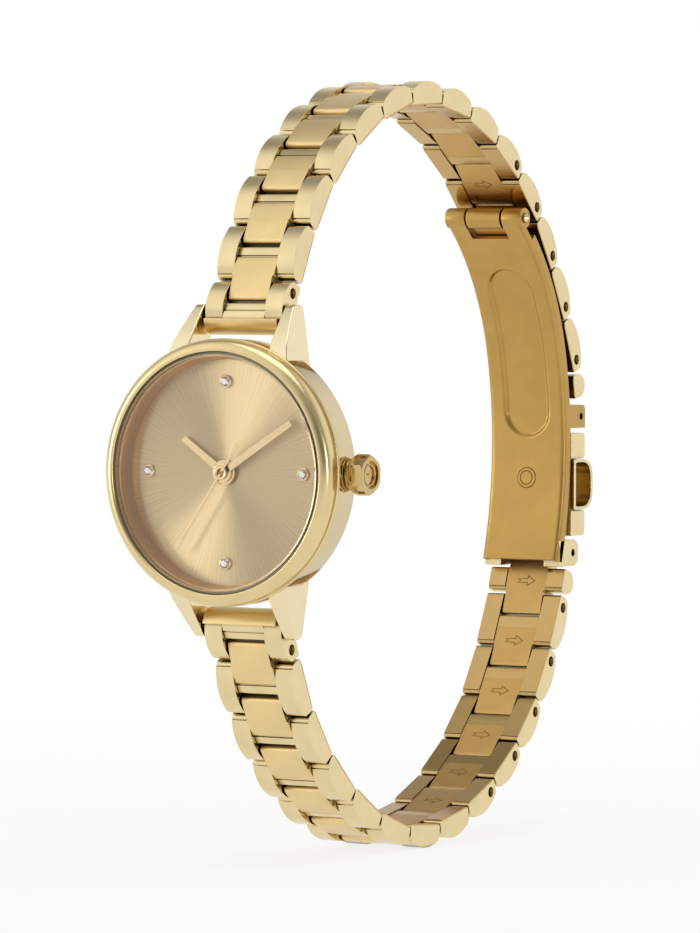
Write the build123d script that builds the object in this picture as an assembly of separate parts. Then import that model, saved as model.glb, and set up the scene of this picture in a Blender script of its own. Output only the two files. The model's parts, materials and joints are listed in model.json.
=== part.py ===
from build123d import *
import math
import os

# A ladies' bracelet watch, standing upright: the dial faces -Y, 12 o'clock is up and the crown is at +X.
# The origin is the centre of the case back's flat face. Heights in the case are measured from that face.

# Middle case
CASE_D = 24.0
CASE_REAR_INSET = 1.1
CASE_REAR_D = CASE_D - 2 * CASE_REAR_INSET
CASE_REAR_H = 0.6
CASE_SLOPE_H = 2.3
CASE_FRONT_H = 5.1
CASE_EDGE_R = 0.2
BACK_RIM_W = 1.0
BACK_SEAT_W = 0.6
BACK_D = CASE_REAR_D - 2 * BACK_RIM_W
MOVEMENT_BORE_D = BACK_D - 2 * BACK_SEAT_W
DIAL_SEAT_H = 4.2
DIAL_T = 0.4
FIT_GAP = 0.05

# Bezel, crystal and the ring round the dial
BEZEL_TOP_H = 7.0
BEZEL_LIP_T = 0.35
BEZEL_GROOVE_T = 0.25
BEZEL_GROOVE_DEEP = 0.4
BEZEL_LIP_OUT = 0.1
BEZEL_WALL = 1.25
BEZEL_LIP_D = CASE_D + 2 * BEZEL_LIP_OUT
BEZEL_BORE_D = BEZEL_LIP_D - 2 * BEZEL_WALL
BEZEL_INNER_R = 0.3
BEZEL_OUTER_R = 0.75
GASKET_W = 0.18
GASKET_DROP = 0.2
CRYSTAL_T = 0.9
CRYSTAL_BEVEL = 0.15
CRYSTAL_DROP = 0.05
DIAL_INSET = 0.45
RING_LAP = 0.25
RING_TOP_W = 0.3
DIAL_D = BEZEL_BORE_D - 2 * DIAL_INSET
RING_D = BEZEL_BORE_D - 2 * FIT_GAP
RING_TOP_D = RING_D - 2 * RING_TOP_W
RING_FOOT_D = DIAL_D - 2 * RING_LAP

# Case back
BACK_T = 1.0
BACK_EDGE_R = 0.3
BACK_LIP_INSET = 0.35
BACK_LIP_D = MOVEMENT_BORE_D - 2 * BACK_LIP_INSET
BACK_LIP_T = 0.4
BACK_LIP_W = 0.6
BACK_GASKET_W = 0.4
BACK_GASKET_T = 0.3

# Lugs
LUG_GAP = 8.6
LUG_ROOT_X = 6.9
LUG_TIP_X = 5.25
LUG_OUT = 3.1
LUG_BITE = 3.6
LUG_ARCH_OUT = 0.2
LUG_TIP_Z = CASE_D / 2 + LUG_OUT
LUG_ROOT_Z = CASE_D / 2 - LUG_BITE
LUG_TIP_TOP_H = 1.9
LUG_TIP_LOW_H = -0.25
LUG_ROOT_TOP_H = 5.0
LUG_ROOT_LOW_H = 1.2
LUG_ARCH_Z = CASE_D / 2 + LUG_ARCH_OUT
LUG_ARCH_H = 3.6
LUG_EDGE = 0.22

# Dial furniture
STONE_INSET = 2.2
STONE_PLACE_R = DIAL_D / 2 - STONE_INSET
SETTING_D = 1.2
SETTING_H = 0.22
STONE_D = 0.92
STONE_SEAT = 0.12
STONE_H = 0.34
STONE_TABLE_SHARE = 0.55
STONE_FACETS = 8

# Movement
MOVEMENT_D = 15.4
MOVEMENT_T = 2.55
HOLDER_REAR_H = 1.55
BATTERY_D = 6.8
BATTERY_T = 1.7
BATTERY_X = -3.4
BATTERY_Z = -2.2
COIL_D = 1.5
COIL_LONG = 4.0
COIL_X = 2.7
COIL_Z = -4.4
COIL_CHEEK_D = 2.1
COIL_CHEEK_T = 0.5
COIL_CORE_D = 0.8
POCKET_GAP = 0.1
CENTRE_HOLE_D = 1.7

# Hands
HAND_W = 0.6
HAND_ROOT_W = 0.72
HAND_T = 0.15
HOUR_LONG = 5.25
MINUTE_LONG = 8.6
SECONDS_LONG = 8.6
SECONDS_TAIL = 3.1
SECONDS_W = 0.2
SECONDS_TAIL_W = 0.42
SECONDS_T = 0.1
HOUR_FLOOR_H = 4.92
MINUTE_FLOOR_H = 5.2
SECONDS_FLOOR_H = 5.46
HOUR_BOSS_D = 2.3
MINUTE_BOSS_D = 1.9
SECONDS_BOSS_D = 1.3
SECONDS_CAP_H = 0.18
HOUR_TUBE_D = 1.5
MINUTE_TUBE_D = 1.0
SECONDS_ARBOR_D = 0.44
TUBE_WALL = 0.2
HAND_TUBE_DEEP = 1.2
HOUR_ANGLE = -54.9
MINUTE_ANGLE = 57.6
SECONDS_ANGLE = 214.0

# Crown, stem and setting parts
CROWN_H = 2.9
CROWN_GAP = 0.1
CROWN_START_X = CASE_D / 2 + CROWN_GAP
CROWN_FLANGE_D = 3.0
CROWN_FLANGE_T = 0.3
CROWN_HEX_LONG = 1.6
CROWN_HEX_AF = 3.2
CROWN_HEX_CROWN = 0.15
CROWN_WINDOW_LONG = 0.95
CROWN_WINDOW_W = 1.25
CROWN_WINDOW_DEEP = 0.13
CROWN_WINDOW_R = 0.25
CROWN_GROOVE_D = 2.55
CROWN_GROOVE_DEEP = 0.3
CROWN_RING_D = 2.0
CROWN_RING_W = 0.16
CROWN_CONE_D = 0.6
CROWN_CONE_H = 0.24
CROWN_SKIRT_D = 2.5
CROWN_SKIRT_DEEP = 0.5
CROWN_SIDES = 6
TUBE_D = 1.9
TUBE_BORE_D = 1.1
TUBE_OUT = 0.3
STEM_D = 0.9
STEM_INNER_X = 4.0
COLLAR_D = 1.5
COLLAR_T = 0.3
COLLAR_X = 5.4
COLLAR_GAP = 1.5
LEVER_ARM = 1.85
LEVER_BEAK_W = 0.3
LEVER_HUB_D = 1.1
LEVER_T = 0.5
LEVER_POST_D = 0.5
PINION_D = 1.7
PINION_LONG = 1.1
PINION_X = 1.9
SQUARE_SIDE = 0.6
KEYLESS_T = 1.9
KEYLESS_START_X = 1.6
KEYLESS_LOW_Z = 1.1
KEYLESS_HIGH_Z = 3.4

# Bracelet links: along the bracelet from one hinge pin to the next, and outward from the wrist
BRACELET_W = 8.2
CENTRE_W = 4.5
TONGUE_W = 4.2
LINK_PITCH = 5.65
LINK_GAP = 0.3
PIN_TO_END = 1.02
BLOCK_IN = 1.0
BLOCK_EDGE = 0.5
BLOCK_CROWN = 1.25
BLOCK_END_R = 0.3
BLOCK_RIM_R = 0.1
PANEL_IN = 0.9
PANEL_EDGE = 0.72
PANEL_CROWN = 1.02
PANEL_END_R = 0.28
PANEL_RIM_R = 0.06
TONGUE_REACH = 0.95
SLOT_GAP = 0.32
STRIP_LONG = 1.03
STRIP_DROP = 0.14
PIN_D = 0.9
PIN_FIT = 0.02
PIN_RUN = 0.06
PIN_SINK = 0.35
PIN_HIDE = 0.8
OPEN_STUB = 1.2

# Chains: where each starts, the lean of each link at rest from the way that the lugs point, in degrees
BAR_INSET = 1.0
BAR_H = 1.1
FIRST_HINGE_OUT = 2.0
FIRST_HINGE_SINK = 0.9
BAR_Z = LUG_TIP_Z - BAR_INSET
FIRST_HINGE_Z = BAR_Z + FIRST_HINGE_OUT
FIRST_HINGE_H = BAR_H - FIRST_HINGE_SINK
UPPER_LEANS = (26.0, 34.5, 46.5, 58.5, 71.5, 86.0, 100.5, 113.0, 124.5, 135.0, 146.0, 151.5, 157.0)
LOWER_LEANS = (25.0, 36.0, 47.5, 58.5, 70.5, 85.5, 100.5, 112.5, 124.0, 135.0, 147.0, 155.0)
UPPER_HALF_LEAN = 170.0
LOWER_HALF_LEAN = 161.0
UPPER_DRILLED_FROM = 9
LOWER_DRILLED_FROM = 8
HALF_START = 1.45
HALF_LONG = 2.3

# Spring bars
BAR_D = 1.0
BAR_TIP_D = 0.6
BAR_TIP_LONG = 0.5
BAR_TIP_FIT = 0.05

# Clasp blades: the line of the inner blade's inner face is two arcs, one above the other
BLADE_LOW_R = 38.0
BLADE_TOP_R = 23.5
BLADE_FAR_Y = 50.4
BLADE_FAR_Z = 1.2
BLADE_JOIN_TURN = 13.5
BLADE_TOP_TURN = 50.0
BLADE_FOOT_OUT = 0.57
BLADE_W = 8.4
BLADE_T = 0.45
FLANGE_T = 0.4
FLANGE_H = 1.15
FLANGE_TOP_TURN = 44.0
NEST_GAP = 0.1
OUTER_W = BLADE_W - 2 * (FLANGE_T + NEST_GAP)
OUTER_TOP_TURN = 43.0
KNUCKLE_D = 2.0
HINGE_PIN_D = 0.8
HINGE_PIN_OUT = 0.4
HINGE_PIN_BEVEL = 0.25
WINDOW_W = 4.1
CURL_W = 3.7
WINDOW_REACH = 2.1
RECESS_W = 4.7
RECESS_TOP_Z = 18.3
RECESS_LOW_Z = 2.1
RECESS_DEEP = 0.13

# Clasp ears, cover, pull tab and snap stud
EAR_GAP = 0.15
EAR_IN_X = CENTRE_W / 2 + EAR_GAP
EAR_OUT_X = BRACELET_W / 2
UPPER_EAR_HALF = 1.13
UPPER_EAR_RISE = 0.8
UPPER_EAR_R = 0.5
LOWER_EAR_HALF = 1.3
LOWER_EAR_RISE = 1.0
LOWER_EAR_R = 0.9
COVER_FLOOR_Y = 51.9
COVER_TOP_Y = 54.65
COVER_TOP_GAP = 0.5
COVER_LOW_GAP = 0.35
COVER_BLOCK_LONG = 2.5
COVER_R = 0.35
TAB_OUT = 0.25
TAB_W = BLADE_W + 2 * TAB_OUT
TAB_WALL = 0.4
TAB_FAR_Y = 55.7
TAB_BULGE = 0.45
TAB_GAP = 0.05
TAB_R = 0.35
STUD_Z = -2.0
STUD_D = 1.1
STUD_HEAD_D = 2.0
STUD_HEAD_T = 0.2
STUD_HEAD_OUT = 0.1
STUD_LONG = 1.45
STUD_RUN = 0.45

OVERRUN = 1.0


def turned(points):
    """Solid of revolution about the dial's axis from (radius, height) points."""
    outline = Polyline(*[(r, -h) for r, h in points], close=True)
    return revolve(make_face(outline), axis=Axis.Y)


def disc(diameter, low, high, x=0.0, z=0.0):
    """Cylinder along the dial's axis between two heights."""
    body = Cylinder(diameter / 2, high - low, rotation=(90, 0, 0))
    return Pos(x, -(low + high) / 2, z) * body


def rod(diameter, x0, x1, y=0.0, z=0.0):
    """Cylinder along X between two places."""
    body = Cylinder(diameter / 2, x1 - x0, rotation=(0, 90, 0))
    return Pos((x0 + x1) / 2, y, z) * body


def slab(face, x0, x1):
    """Solid of an outline drawn in Y and Z, between two places along X."""
    return Pos(x0, 0, 0) * extrude(Plane.YZ * face, amount=x1 - x0)


def block_between(x0, x1, y0, y1, z0, z1):
    """Box between two corners."""
    body = Box(x1 - x0, y1 - y0, z1 - z0)
    return Pos((x0 + x1) / 2, (y0 + y1) / 2, (z0 + z1) / 2) * body


def rounded_rim(body, radius):
    """Rounds the edges of the two end faces across X."""
    faces = body.faces().sort_by(Axis.X)
    return fillet(faces[0].edges() + faces[-1].edges(), radius)


def solids_of(*shapes):
    """Every separate solid in the given shapes."""
    return [solid for shape in shapes for solid in shape.solids()]


# Case


def lug(side_x, side_z):
    """One horn: its side outline, tapered towards the tip."""
    outline = Polyline(
        (-LUG_ROOT_TOP_H, LUG_ROOT_Z),
        (-LUG_ARCH_H, LUG_ARCH_Z),
        (-LUG_TIP_TOP_H, LUG_TIP_Z),
        (-LUG_TIP_LOW_H, LUG_TIP_Z - LUG_EDGE),
        (-LUG_ROOT_LOW_H, LUG_ROOT_Z),
        close=True,
    )
    body = slab(make_face(outline), LUG_GAP / 2, LUG_ROOT_X)
    taper = Polyline(
        (LUG_ROOT_X, LUG_ROOT_Z),
        (LUG_TIP_X, LUG_TIP_Z),
        (LUG_TIP_X, LUG_TIP_Z + OVERRUN),
        (LUG_ROOT_X + OVERRUN, LUG_TIP_Z + OVERRUN),
        (LUG_ROOT_X + OVERRUN, LUG_ROOT_Z),
        close=True,
    )
    cutter = extrude(Plane.XZ * make_face(taper), amount=CASE_D / 2, both=True)
    body = body - cutter
    tip_edges = body.edges().filter_by_position(Axis.Z, LUG_ARCH_Z - LUG_EDGE, LUG_TIP_Z + LUG_EDGE)
    body = chamfer(tip_edges.filter_by(Axis.X), LUG_EDGE)
    if side_z < 0:
        body = body.mirror(Plane.XY)
    if side_x < 0:
        body = body.mirror(Plane.YZ)
    return body


def lug_holes():
    """Blind holes in the lugs for the tips of the spring bars."""
    reach = LUG_GAP / 2 + BAR_TIP_LONG + BAR_TIP_FIT
    hole = rod(BAR_TIP_D + 2 * BAR_TIP_FIT, -reach, reach, -BAR_H, BAR_Z)
    return hole + hole.mirror(Plane.XY)


def case_body():
    ring = turned([
        (MOVEMENT_BORE_D / 2, CASE_REAR_H),
        (CASE_REAR_D / 2, CASE_REAR_H),
        (CASE_D / 2, CASE_SLOPE_H),
        (CASE_D / 2, CASE_FRONT_H),
        (MOVEMENT_BORE_D / 2, CASE_FRONT_H),
    ])
    rims = ring.edges().filter_by(GeomType.CIRCLE).sort_by(SortBy.RADIUS)
    ring = fillet(rims[-2:], CASE_EDGE_R)
    body = ring
    for side_x in (1, -1):
        for side_z in (1, -1):
            body = body + lug(side_x, side_z)
    body = body - disc(MOVEMENT_BORE_D, CASE_REAR_H - OVERRUN, CASE_FRONT_H + OVERRUN)
    body = body - disc(DIAL_D + 2 * FIT_GAP, DIAL_SEAT_H, CASE_FRONT_H + OVERRUN)
    body = body - disc(RING_D + 2 * FIT_GAP, DIAL_SEAT_H + DIAL_T, CASE_FRONT_H + OVERRUN)
    body = body - disc(BACK_D + 2 * FIT_GAP, CASE_REAR_H - OVERRUN, BACK_T + FIT_GAP)
    body = body - lug_holes()
    return body - rod(TUBE_D, MOVEMENT_BORE_D / 2 - OVERRUN, CASE_D / 2 + OVERRUN, -CROWN_H)


def bezel():
    body_d = BEZEL_LIP_D - BEZEL_GROOVE_DEEP / 4
    groove_d = BEZEL_LIP_D - 2 * BEZEL_GROOVE_DEEP
    lip_top = CASE_FRONT_H + BEZEL_LIP_T
    groove_top = lip_top + BEZEL_GROOVE_T
    ring = turned([
        (BEZEL_BORE_D / 2, CASE_FRONT_H),
        (BEZEL_LIP_D / 2, CASE_FRONT_H),
        (BEZEL_LIP_D / 2, lip_top),
        (groove_d / 2, lip_top),
        (groove_d / 2, groove_top),
        (body_d / 2, groove_top),
        (body_d / 2, BEZEL_TOP_H),
        (BEZEL_BORE_D / 2, BEZEL_TOP_H),
    ])
    top = ring.edges().filter_by_position(Axis.Y, -BEZEL_TOP_H - FIT_GAP, -BEZEL_TOP_H + FIT_GAP)
    top = top.sort_by(SortBy.RADIUS)
    ring = fillet(top[-1], BEZEL_OUTER_R)
    top = ring.edges().filter_by_position(Axis.Y, -BEZEL_TOP_H - FIT_GAP, -BEZEL_TOP_H + FIT_GAP)
    ring = fillet(top.sort_by(SortBy.RADIUS)[0], BEZEL_INNER_R)
    lip = ring.edges().filter_by_position(Axis.Y, -lip_top - FIT_GAP, -lip_top + FIT_GAP)
    return fillet(lip.sort_by(SortBy.RADIUS)[-1], BEZEL_LIP_T / 3)


CRYSTAL_TOP_H = BEZEL_TOP_H - CRYSTAL_DROP
CRYSTAL_FLOOR_H = CRYSTAL_TOP_H - CRYSTAL_T
CRYSTAL_D = BEZEL_BORE_D - 2 * GASKET_W


def crystal():
    glass = disc(CRYSTAL_D, CRYSTAL_FLOOR_H, CRYSTAL_TOP_H)
    return chamfer(glass.faces().sort_by(Axis.Y)[0].edges(), CRYSTAL_BEVEL)


def crystal_gasket():
    top = BEZEL_TOP_H - BEZEL_INNER_R - GASKET_DROP / 2
    return turned([
        (CRYSTAL_D / 2, CRYSTAL_FLOOR_H),
        (BEZEL_BORE_D / 2, CRYSTAL_FLOOR_H),
        (BEZEL_BORE_D / 2, top),
        (CRYSTAL_D / 2, top),
    ])


def dial_ring():
    foot = DIAL_SEAT_H + DIAL_T
    return turned([
        (RING_FOOT_D / 2, foot),
        (RING_D / 2, foot),
        (RING_D / 2, CRYSTAL_FLOOR_H),
        (RING_TOP_D / 2, CRYSTAL_FLOOR_H),
    ])


def stone_places():
    """Centres of the four stones in X and Z."""
    return [(STONE_PLACE_R * x, STONE_PLACE_R * z) for x, z in ((0, 1), (1, 0), (0, -1), (-1, 0))]


def dial():
    plate = disc(DIAL_D, DIAL_SEAT_H, DIAL_SEAT_H + DIAL_T)
    return plate - disc(CENTRE_HOLE_D, DIAL_SEAT_H - OVERRUN, DIAL_SEAT_H + DIAL_T + OVERRUN)


def stone_setting(x, z):
    """A round collar with a beaded seat for the stone."""
    floor = DIAL_SEAT_H + DIAL_T
    collar = disc(SETTING_D, floor, floor + SETTING_H, x, z)
    collar = fillet(collar.faces().sort_by(Axis.Y)[0].edges(), (SETTING_D - STONE_D) / 4)
    return collar - disc(STONE_D, floor + SETTING_H - STONE_SEAT, floor + SETTING_H + OVERRUN, x, z)


def stone(x, z):
    """A brilliant: a faceted crown over a shallow girdle."""
    floor = DIAL_SEAT_H + DIAL_T + SETTING_H - STONE_SEAT
    girdle = floor + STONE_SEAT
    places = [Plane.XZ.offset(h) for h in (floor, girdle, floor + STONE_H)]
    radii = (STONE_D / 2, STONE_D / 2, STONE_D / 2 * STONE_TABLE_SHARE)
    faces = [place * RegularPolygon(r, STONE_FACETS) for place, r in zip(places, radii)]
    return Pos(x, 0, z) * loft(faces, ruled=True)


# Movement and the closed inner pieces


def movement_holder():
    low = HOLDER_REAR_H
    high = DIAL_SEAT_H
    outer = disc(MOVEMENT_BORE_D - 2 * FIT_GAP, low, high)
    ring = outer - disc(MOVEMENT_D + 2 * FIT_GAP, low - OVERRUN, high + OVERRUN)
    return ring - rod(COLLAR_D + 2 * POCKET_GAP, MOVEMENT_D / 2 - OVERRUN, MOVEMENT_BORE_D / 2, -CROWN_H)


def movement_plate():
    low = DIAL_SEAT_H - MOVEMENT_T
    plate = disc(MOVEMENT_D, low, DIAL_SEAT_H)
    plate = plate - disc(CENTRE_HOLE_D, low + BATTERY_T / 2, DIAL_SEAT_H + OVERRUN)
    plate = plate - disc(BATTERY_D + 2 * POCKET_GAP, low - OVERRUN, low + BATTERY_T, BATTERY_X, BATTERY_Z)
    coil_half = COIL_LONG / 2 + COIL_CHEEK_T + POCKET_GAP
    coil_room = COIL_CHEEK_D / 2 + POCKET_GAP
    plate = plate - block_between(
        COIL_X - coil_half, COIL_X + coil_half,
        -low - COIL_CHEEK_D - POCKET_GAP, -low + OVERRUN,
        COIL_Z - coil_room, COIL_Z + coil_room,
    )
    keyless = block_between(
        KEYLESS_START_X, MOVEMENT_D / 2 + OVERRUN,
        -CROWN_H - KEYLESS_T / 2, -CROWN_H + KEYLESS_T / 2,
        -KEYLESS_LOW_Z, KEYLESS_HIGH_Z,
    )
    post = disc(LEVER_POST_D, CROWN_H - KEYLESS_T / 2, CROWN_H + KEYLESS_T / 2, LEVER_X, LEVER_PIVOT_Z)
    return plate - keyless + post


def battery():
    low = DIAL_SEAT_H - MOVEMENT_T
    cell = disc(BATTERY_D, low, low + BATTERY_T, BATTERY_X, BATTERY_Z)
    return fillet(cell.faces().sort_by(Axis.Y)[-1].edges(), BATTERY_T / 6)


def drive_coil():
    y = -(DIAL_SEAT_H - MOVEMENT_T) - COIL_CHEEK_D / 2
    half = COIL_LONG / 2
    core = rod(COIL_CORE_D, COIL_X - half - COIL_CHEEK_T, COIL_X + half + COIL_CHEEK_T, y, COIL_Z)
    winding = rod(COIL_D, COIL_X - half, COIL_X + half, y, COIL_Z) - core
    left = rod(COIL_CHEEK_D, COIL_X - half - COIL_CHEEK_T, COIL_X - half, y, COIL_Z)
    right = rod(COIL_CHEEK_D, COIL_X + half, COIL_X + half + COIL_CHEEK_T, y, COIL_Z)
    return solids_of(core + left + right, winding)


def case_back():
    plate = disc(BACK_D, 0, BACK_T)
    plate = fillet(plate.faces().sort_by(Axis.Y)[-1].edges(), BACK_EDGE_R)
    lip = disc(BACK_LIP_D, BACK_T, BACK_T + BACK_LIP_T)
    lip = lip - disc(BACK_LIP_D - 2 * BACK_LIP_W, BACK_T, BACK_T + BACK_LIP_T + OVERRUN)
    return plate + lip


def case_back_gasket():
    outer = BACK_LIP_D + 2 * BACK_GASKET_W
    inner = BACK_LIP_D + 2 * FIT_GAP
    ring = disc(MOVEMENT_BORE_D - 2 * FIT_GAP, BACK_T, BACK_T + BACK_GASKET_T)
    return ring & disc(outer, BACK_T, BACK_T + BACK_GASKET_T) - disc(inner, 0, BACK_T + OVERRUN)


LEVER_X = COLLAR_X + COLLAR_T + COLLAR_GAP / 2
LEVER_TIP_Z = STEM_D / 2 + POCKET_GAP
LEVER_PIVOT_Z = LEVER_TIP_Z + LEVER_ARM


def setting_lever():
    """A lever on its post, its beak between the stem's two collars."""
    low = CROWN_H - LEVER_T / 2
    high = CROWN_H + LEVER_T / 2
    hub = disc(LEVER_HUB_D, low, high, LEVER_X, LEVER_PIVOT_Z)
    arm = block_between(
        LEVER_X - LEVER_BEAK_W / 2, LEVER_X + LEVER_BEAK_W / 2, -high, -low, LEVER_TIP_Z, LEVER_PIVOT_Z
    )
    return hub + arm - disc(LEVER_POST_D + 2 * FIT_GAP, 0, CASE_FRONT_H, LEVER_X, LEVER_PIVOT_Z)


def clutch_pinion():
    """Turns with the stem while the stem slides through its square hole."""
    body = rod(PINION_D, PINION_X, PINION_X + PINION_LONG, -CROWN_H)
    side = SQUARE_SIDE + 2 * FIT_GAP
    hole = Box(PINION_LONG + 2 * OVERRUN, side, side)
    return body - Pos(PINION_X + PINION_LONG / 2, -CROWN_H, 0) * hole


def winding_stem():
    square_long = STEM_INNER_X - PINION_X + POCKET_GAP
    square = Box(square_long, SQUARE_SIDE, SQUARE_SIDE)
    square = Pos(STEM_INNER_X - square_long / 2, -CROWN_H, 0) * square
    end = CROWN_START_X + CROWN_FLANGE_T + CROWN_HEX_LONG - 2 * CROWN_GROOVE_DEEP
    stem = rod(STEM_D, STEM_INNER_X, end, -CROWN_H)
    for x in (COLLAR_X, COLLAR_X + COLLAR_T + COLLAR_GAP):
        stem = stem + rod(COLLAR_D, x, x + COLLAR_T, -CROWN_H)
    return stem + square


def crown_tube():
    start = MOVEMENT_BORE_D / 2
    tube = rod(TUBE_D, start, CASE_D / 2 + TUBE_OUT, -CROWN_H)
    return tube - rod(TUBE_BORE_D, start - OVERRUN, CASE_D / 2 + TUBE_OUT + OVERRUN, -CROWN_H)


def crown_window(turn, start):
    """Cutter for the sunk window in one side of the crown, turned about the crown's axis."""
    shape = RectangleRounded(CROWN_WINDOW_LONG, CROWN_WINDOW_W, CROWN_WINDOW_R)
    floor = CROWN_HEX_AF / 2 - CROWN_WINDOW_DEEP
    cutter = extrude(Plane.XY.offset(floor) * shape, amount=CROWN_HEX_AF / 2)
    return Pos(start + CROWN_HEX_LONG / 2, -CROWN_H, 0) * Rot(turn, 0, 0) * cutter


def crown():
    """A six-sided grip on a round flange, with sunk windows and a ringed dish in its end."""
    grip_start = CROWN_START_X + CROWN_FLANGE_T
    end = grip_start + CROWN_HEX_LONG
    floor = end - CROWN_GROOVE_DEEP
    side = RegularPolygon(CROWN_HEX_AF / 2, CROWN_SIDES, major_radius=False, rotation=90)
    grip = Pos(grip_start, -CROWN_H, 0) * extrude(Plane.YZ * side, amount=CROWN_HEX_LONG)
    trim = rod(CROWN_HEX_AF / math.cos(math.pi / CROWN_SIDES), grip_start, end, -CROWN_H)
    grip = grip & chamfer(trim.edges().filter_by(GeomType.CIRCLE), CROWN_HEX_CROWN)
    for i in range(CROWN_SIDES):
        grip = grip - crown_window(360 * (i + 1 / 2) / CROWN_SIDES, grip_start)
    grip = grip - rod(CROWN_GROOVE_D, floor, end + OVERRUN, -CROWN_H)
    ring = rod(CROWN_RING_D, floor, end - CROWN_GROOVE_DEEP / 4, -CROWN_H)
    ring = ring - rod(CROWN_RING_D - 2 * CROWN_RING_W, floor, end, -CROWN_H)
    cone = Cone(CROWN_CONE_D / 2, CROWN_CONE_D / 8, CROWN_CONE_H, rotation=(0, 90, 0))
    cone = Pos(floor + CROWN_CONE_H / 2, -CROWN_H, 0) * cone
    body = grip + ring + cone + rod(CROWN_FLANGE_D, CROWN_START_X, grip_start, -CROWN_H)
    skirt_end = CROWN_START_X + CROWN_SKIRT_DEEP
    body = body - rod(CROWN_SKIRT_D, CROWN_START_X - OVERRUN, skirt_end, -CROWN_H)
    return body - rod(STEM_D, CROWN_START_X, floor - CROWN_GROOVE_DEEP, -CROWN_H)


# Hands


def swung(shape, angle):
    """Turns a hand that points to 12 by a clockwise dial angle in degrees."""
    return Rot(0, angle, 0) * shape


def baton(length, floor, thickness, root_w, tip_w):
    """Flat hand blade that points to 12."""
    outline = Polyline(
        (-root_w / 2, 0), (-tip_w / 2, length), (tip_w / 2, length), (root_w / 2, 0), close=True
    )
    blade = extrude(Plane.XZ.offset(floor) * make_face(outline), amount=thickness)
    return blade


def hand(length, floor, boss_d, tube_d, angle):
    """A baton on its boss and tube."""
    body = baton(length, floor, HAND_T, HAND_ROOT_W, HAND_W) + disc(boss_d, floor, floor + HAND_T)
    body = body + disc(tube_d, floor - HAND_TUBE_DEEP, floor)
    bore = tube_d - 2 * TUBE_WALL
    body = body - disc(bore, floor - HAND_TUBE_DEEP - OVERRUN, floor + OVERRUN)
    return swung(body, angle)


def hour_hand():
    return hand(HOUR_LONG, HOUR_FLOOR_H, HOUR_BOSS_D, HOUR_TUBE_D, HOUR_ANGLE)


def minute_hand():
    return hand(MINUTE_LONG, MINUTE_FLOOR_H, MINUTE_BOSS_D, MINUTE_TUBE_D, MINUTE_ANGLE)


def seconds_hand():
    floor = SECONDS_FLOOR_H
    body = baton(SECONDS_LONG, floor, SECONDS_T, SECONDS_W, SECONDS_W)
    tail = baton(SECONDS_TAIL, floor, SECONDS_T, SECONDS_W, SECONDS_TAIL_W)
    body = body + Rot(0, 180, 0) * tail
    cap = disc(SECONDS_BOSS_D, floor, floor + SECONDS_CAP_H)
    cap = fillet(cap.faces().sort_by(Axis.Y)[0].edges(), SECONDS_CAP_H / 2)
    arbor = disc(SECONDS_ARBOR_D, MINUTE_FLOOR_H - HAND_TUBE_DEEP, floor)
    return swung(body + cap + arbor, SECONDS_ANGLE)


# Bracelet. A link is drawn with its case-side hinge at the origin and its own pin at LINK_PITCH up Z;
# outward from the wrist is -Y.


def loaf(u0, u1, rise_in, rise_edge, rise_crown, radius):
    """Side outline with a flat inner face and an arched outer one."""
    corners = (rise_in, u0), (rise_in, u1), (-rise_edge, u1), (-rise_edge, u0)
    arch = ThreePointArc(corners[2], (-rise_crown, (u0 + u1) / 2), corners[3])
    sides = [Line(corners[0], corners[1]), Line(corners[1], corners[2]), arch, Line(corners[3], corners[0])]
    face = make_face(Curve() + sides)
    return fillet(face.vertices(), radius)


def side_blocks(u0, u1):
    """The two polished outer blocks of a link."""
    face = loaf(u0, u1, BLOCK_IN, BLOCK_EDGE, BLOCK_CROWN, BLOCK_END_R)
    right = rounded_rim(slab(face, CENTRE_W / 2, BRACELET_W / 2), BLOCK_RIM_R)
    return [right.mirror(Plane.YZ), right]


def centre_piece(u0, u1, slot_from, strip):
    """The middle of a link: a tongue for the next slot, a panel and a lower strip."""
    face = loaf(u0, u1, PANEL_IN, PANEL_EDGE, PANEL_CROWN, PANEL_END_R)
    narrow = rounded_rim(slab(face, -TONGUE_W / 2, TONGUE_W / 2), PANEL_RIM_R)
    wide = slab(face, -CENTRE_W / 2, CENTRE_W / 2)
    wide = wide & block_between(-CENTRE_W, CENTRE_W, -BRACELET_W, BRACELET_W, slot_from, u1 + OVERRUN)
    body = narrow + wide
    if strip:
        low = -PANEL_CROWN + STRIP_DROP
        body = body - block_between(
            -CENTRE_W, CENTRE_W, low - OVERRUN, low, u1 - STRIP_LONG, u1 + OVERRUN
        )
    return body


def link_pin(drilled, u):
    """Hinge pin of a link: sunk in a through hole where the block is drilled, hidden where it isn't."""
    half = BRACELET_W / 2 - (PIN_SINK if drilled else PIN_HIDE)
    return rod(PIN_D, -half, half, 0, u)


def drill(blocks, drilled, u):
    """Cuts the pin's hole into a link's blocks."""
    half = BRACELET_W / 2 + OVERRUN if drilled else BRACELET_W / 2 - PIN_HIDE
    hole = rod(PIN_D + 2 * PIN_FIT, -half, half, 0, u)
    return [block - hole for block in blocks]


BLOCK_START = PIN_TO_END + LINK_GAP
CENTRE_END = LINK_PITCH - TONGUE_REACH - SLOT_GAP


def bracelet_link(drilled, open_end=False):
    """Blocks, middle and pin of one full link."""
    blocks = drill(side_blocks(BLOCK_START, LINK_PITCH + PIN_TO_END), drilled, LINK_PITCH)
    middle = centre_piece(-TONGUE_REACH, CENTRE_END, BLOCK_START, True)
    middle = middle - rod(PIN_D + 2 * PIN_RUN, -BRACELET_W, BRACELET_W)
    pin = link_pin(drilled, LINK_PITCH)
    if open_end:
        half = BRACELET_W / 2 - PIN_SINK - OPEN_STUB
        pin = pin - block_between(-half, half, -PIN_D, PIN_D, 0, LINK_PITCH + PIN_D)
    return solids_of(*blocks, middle, pin)


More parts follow.
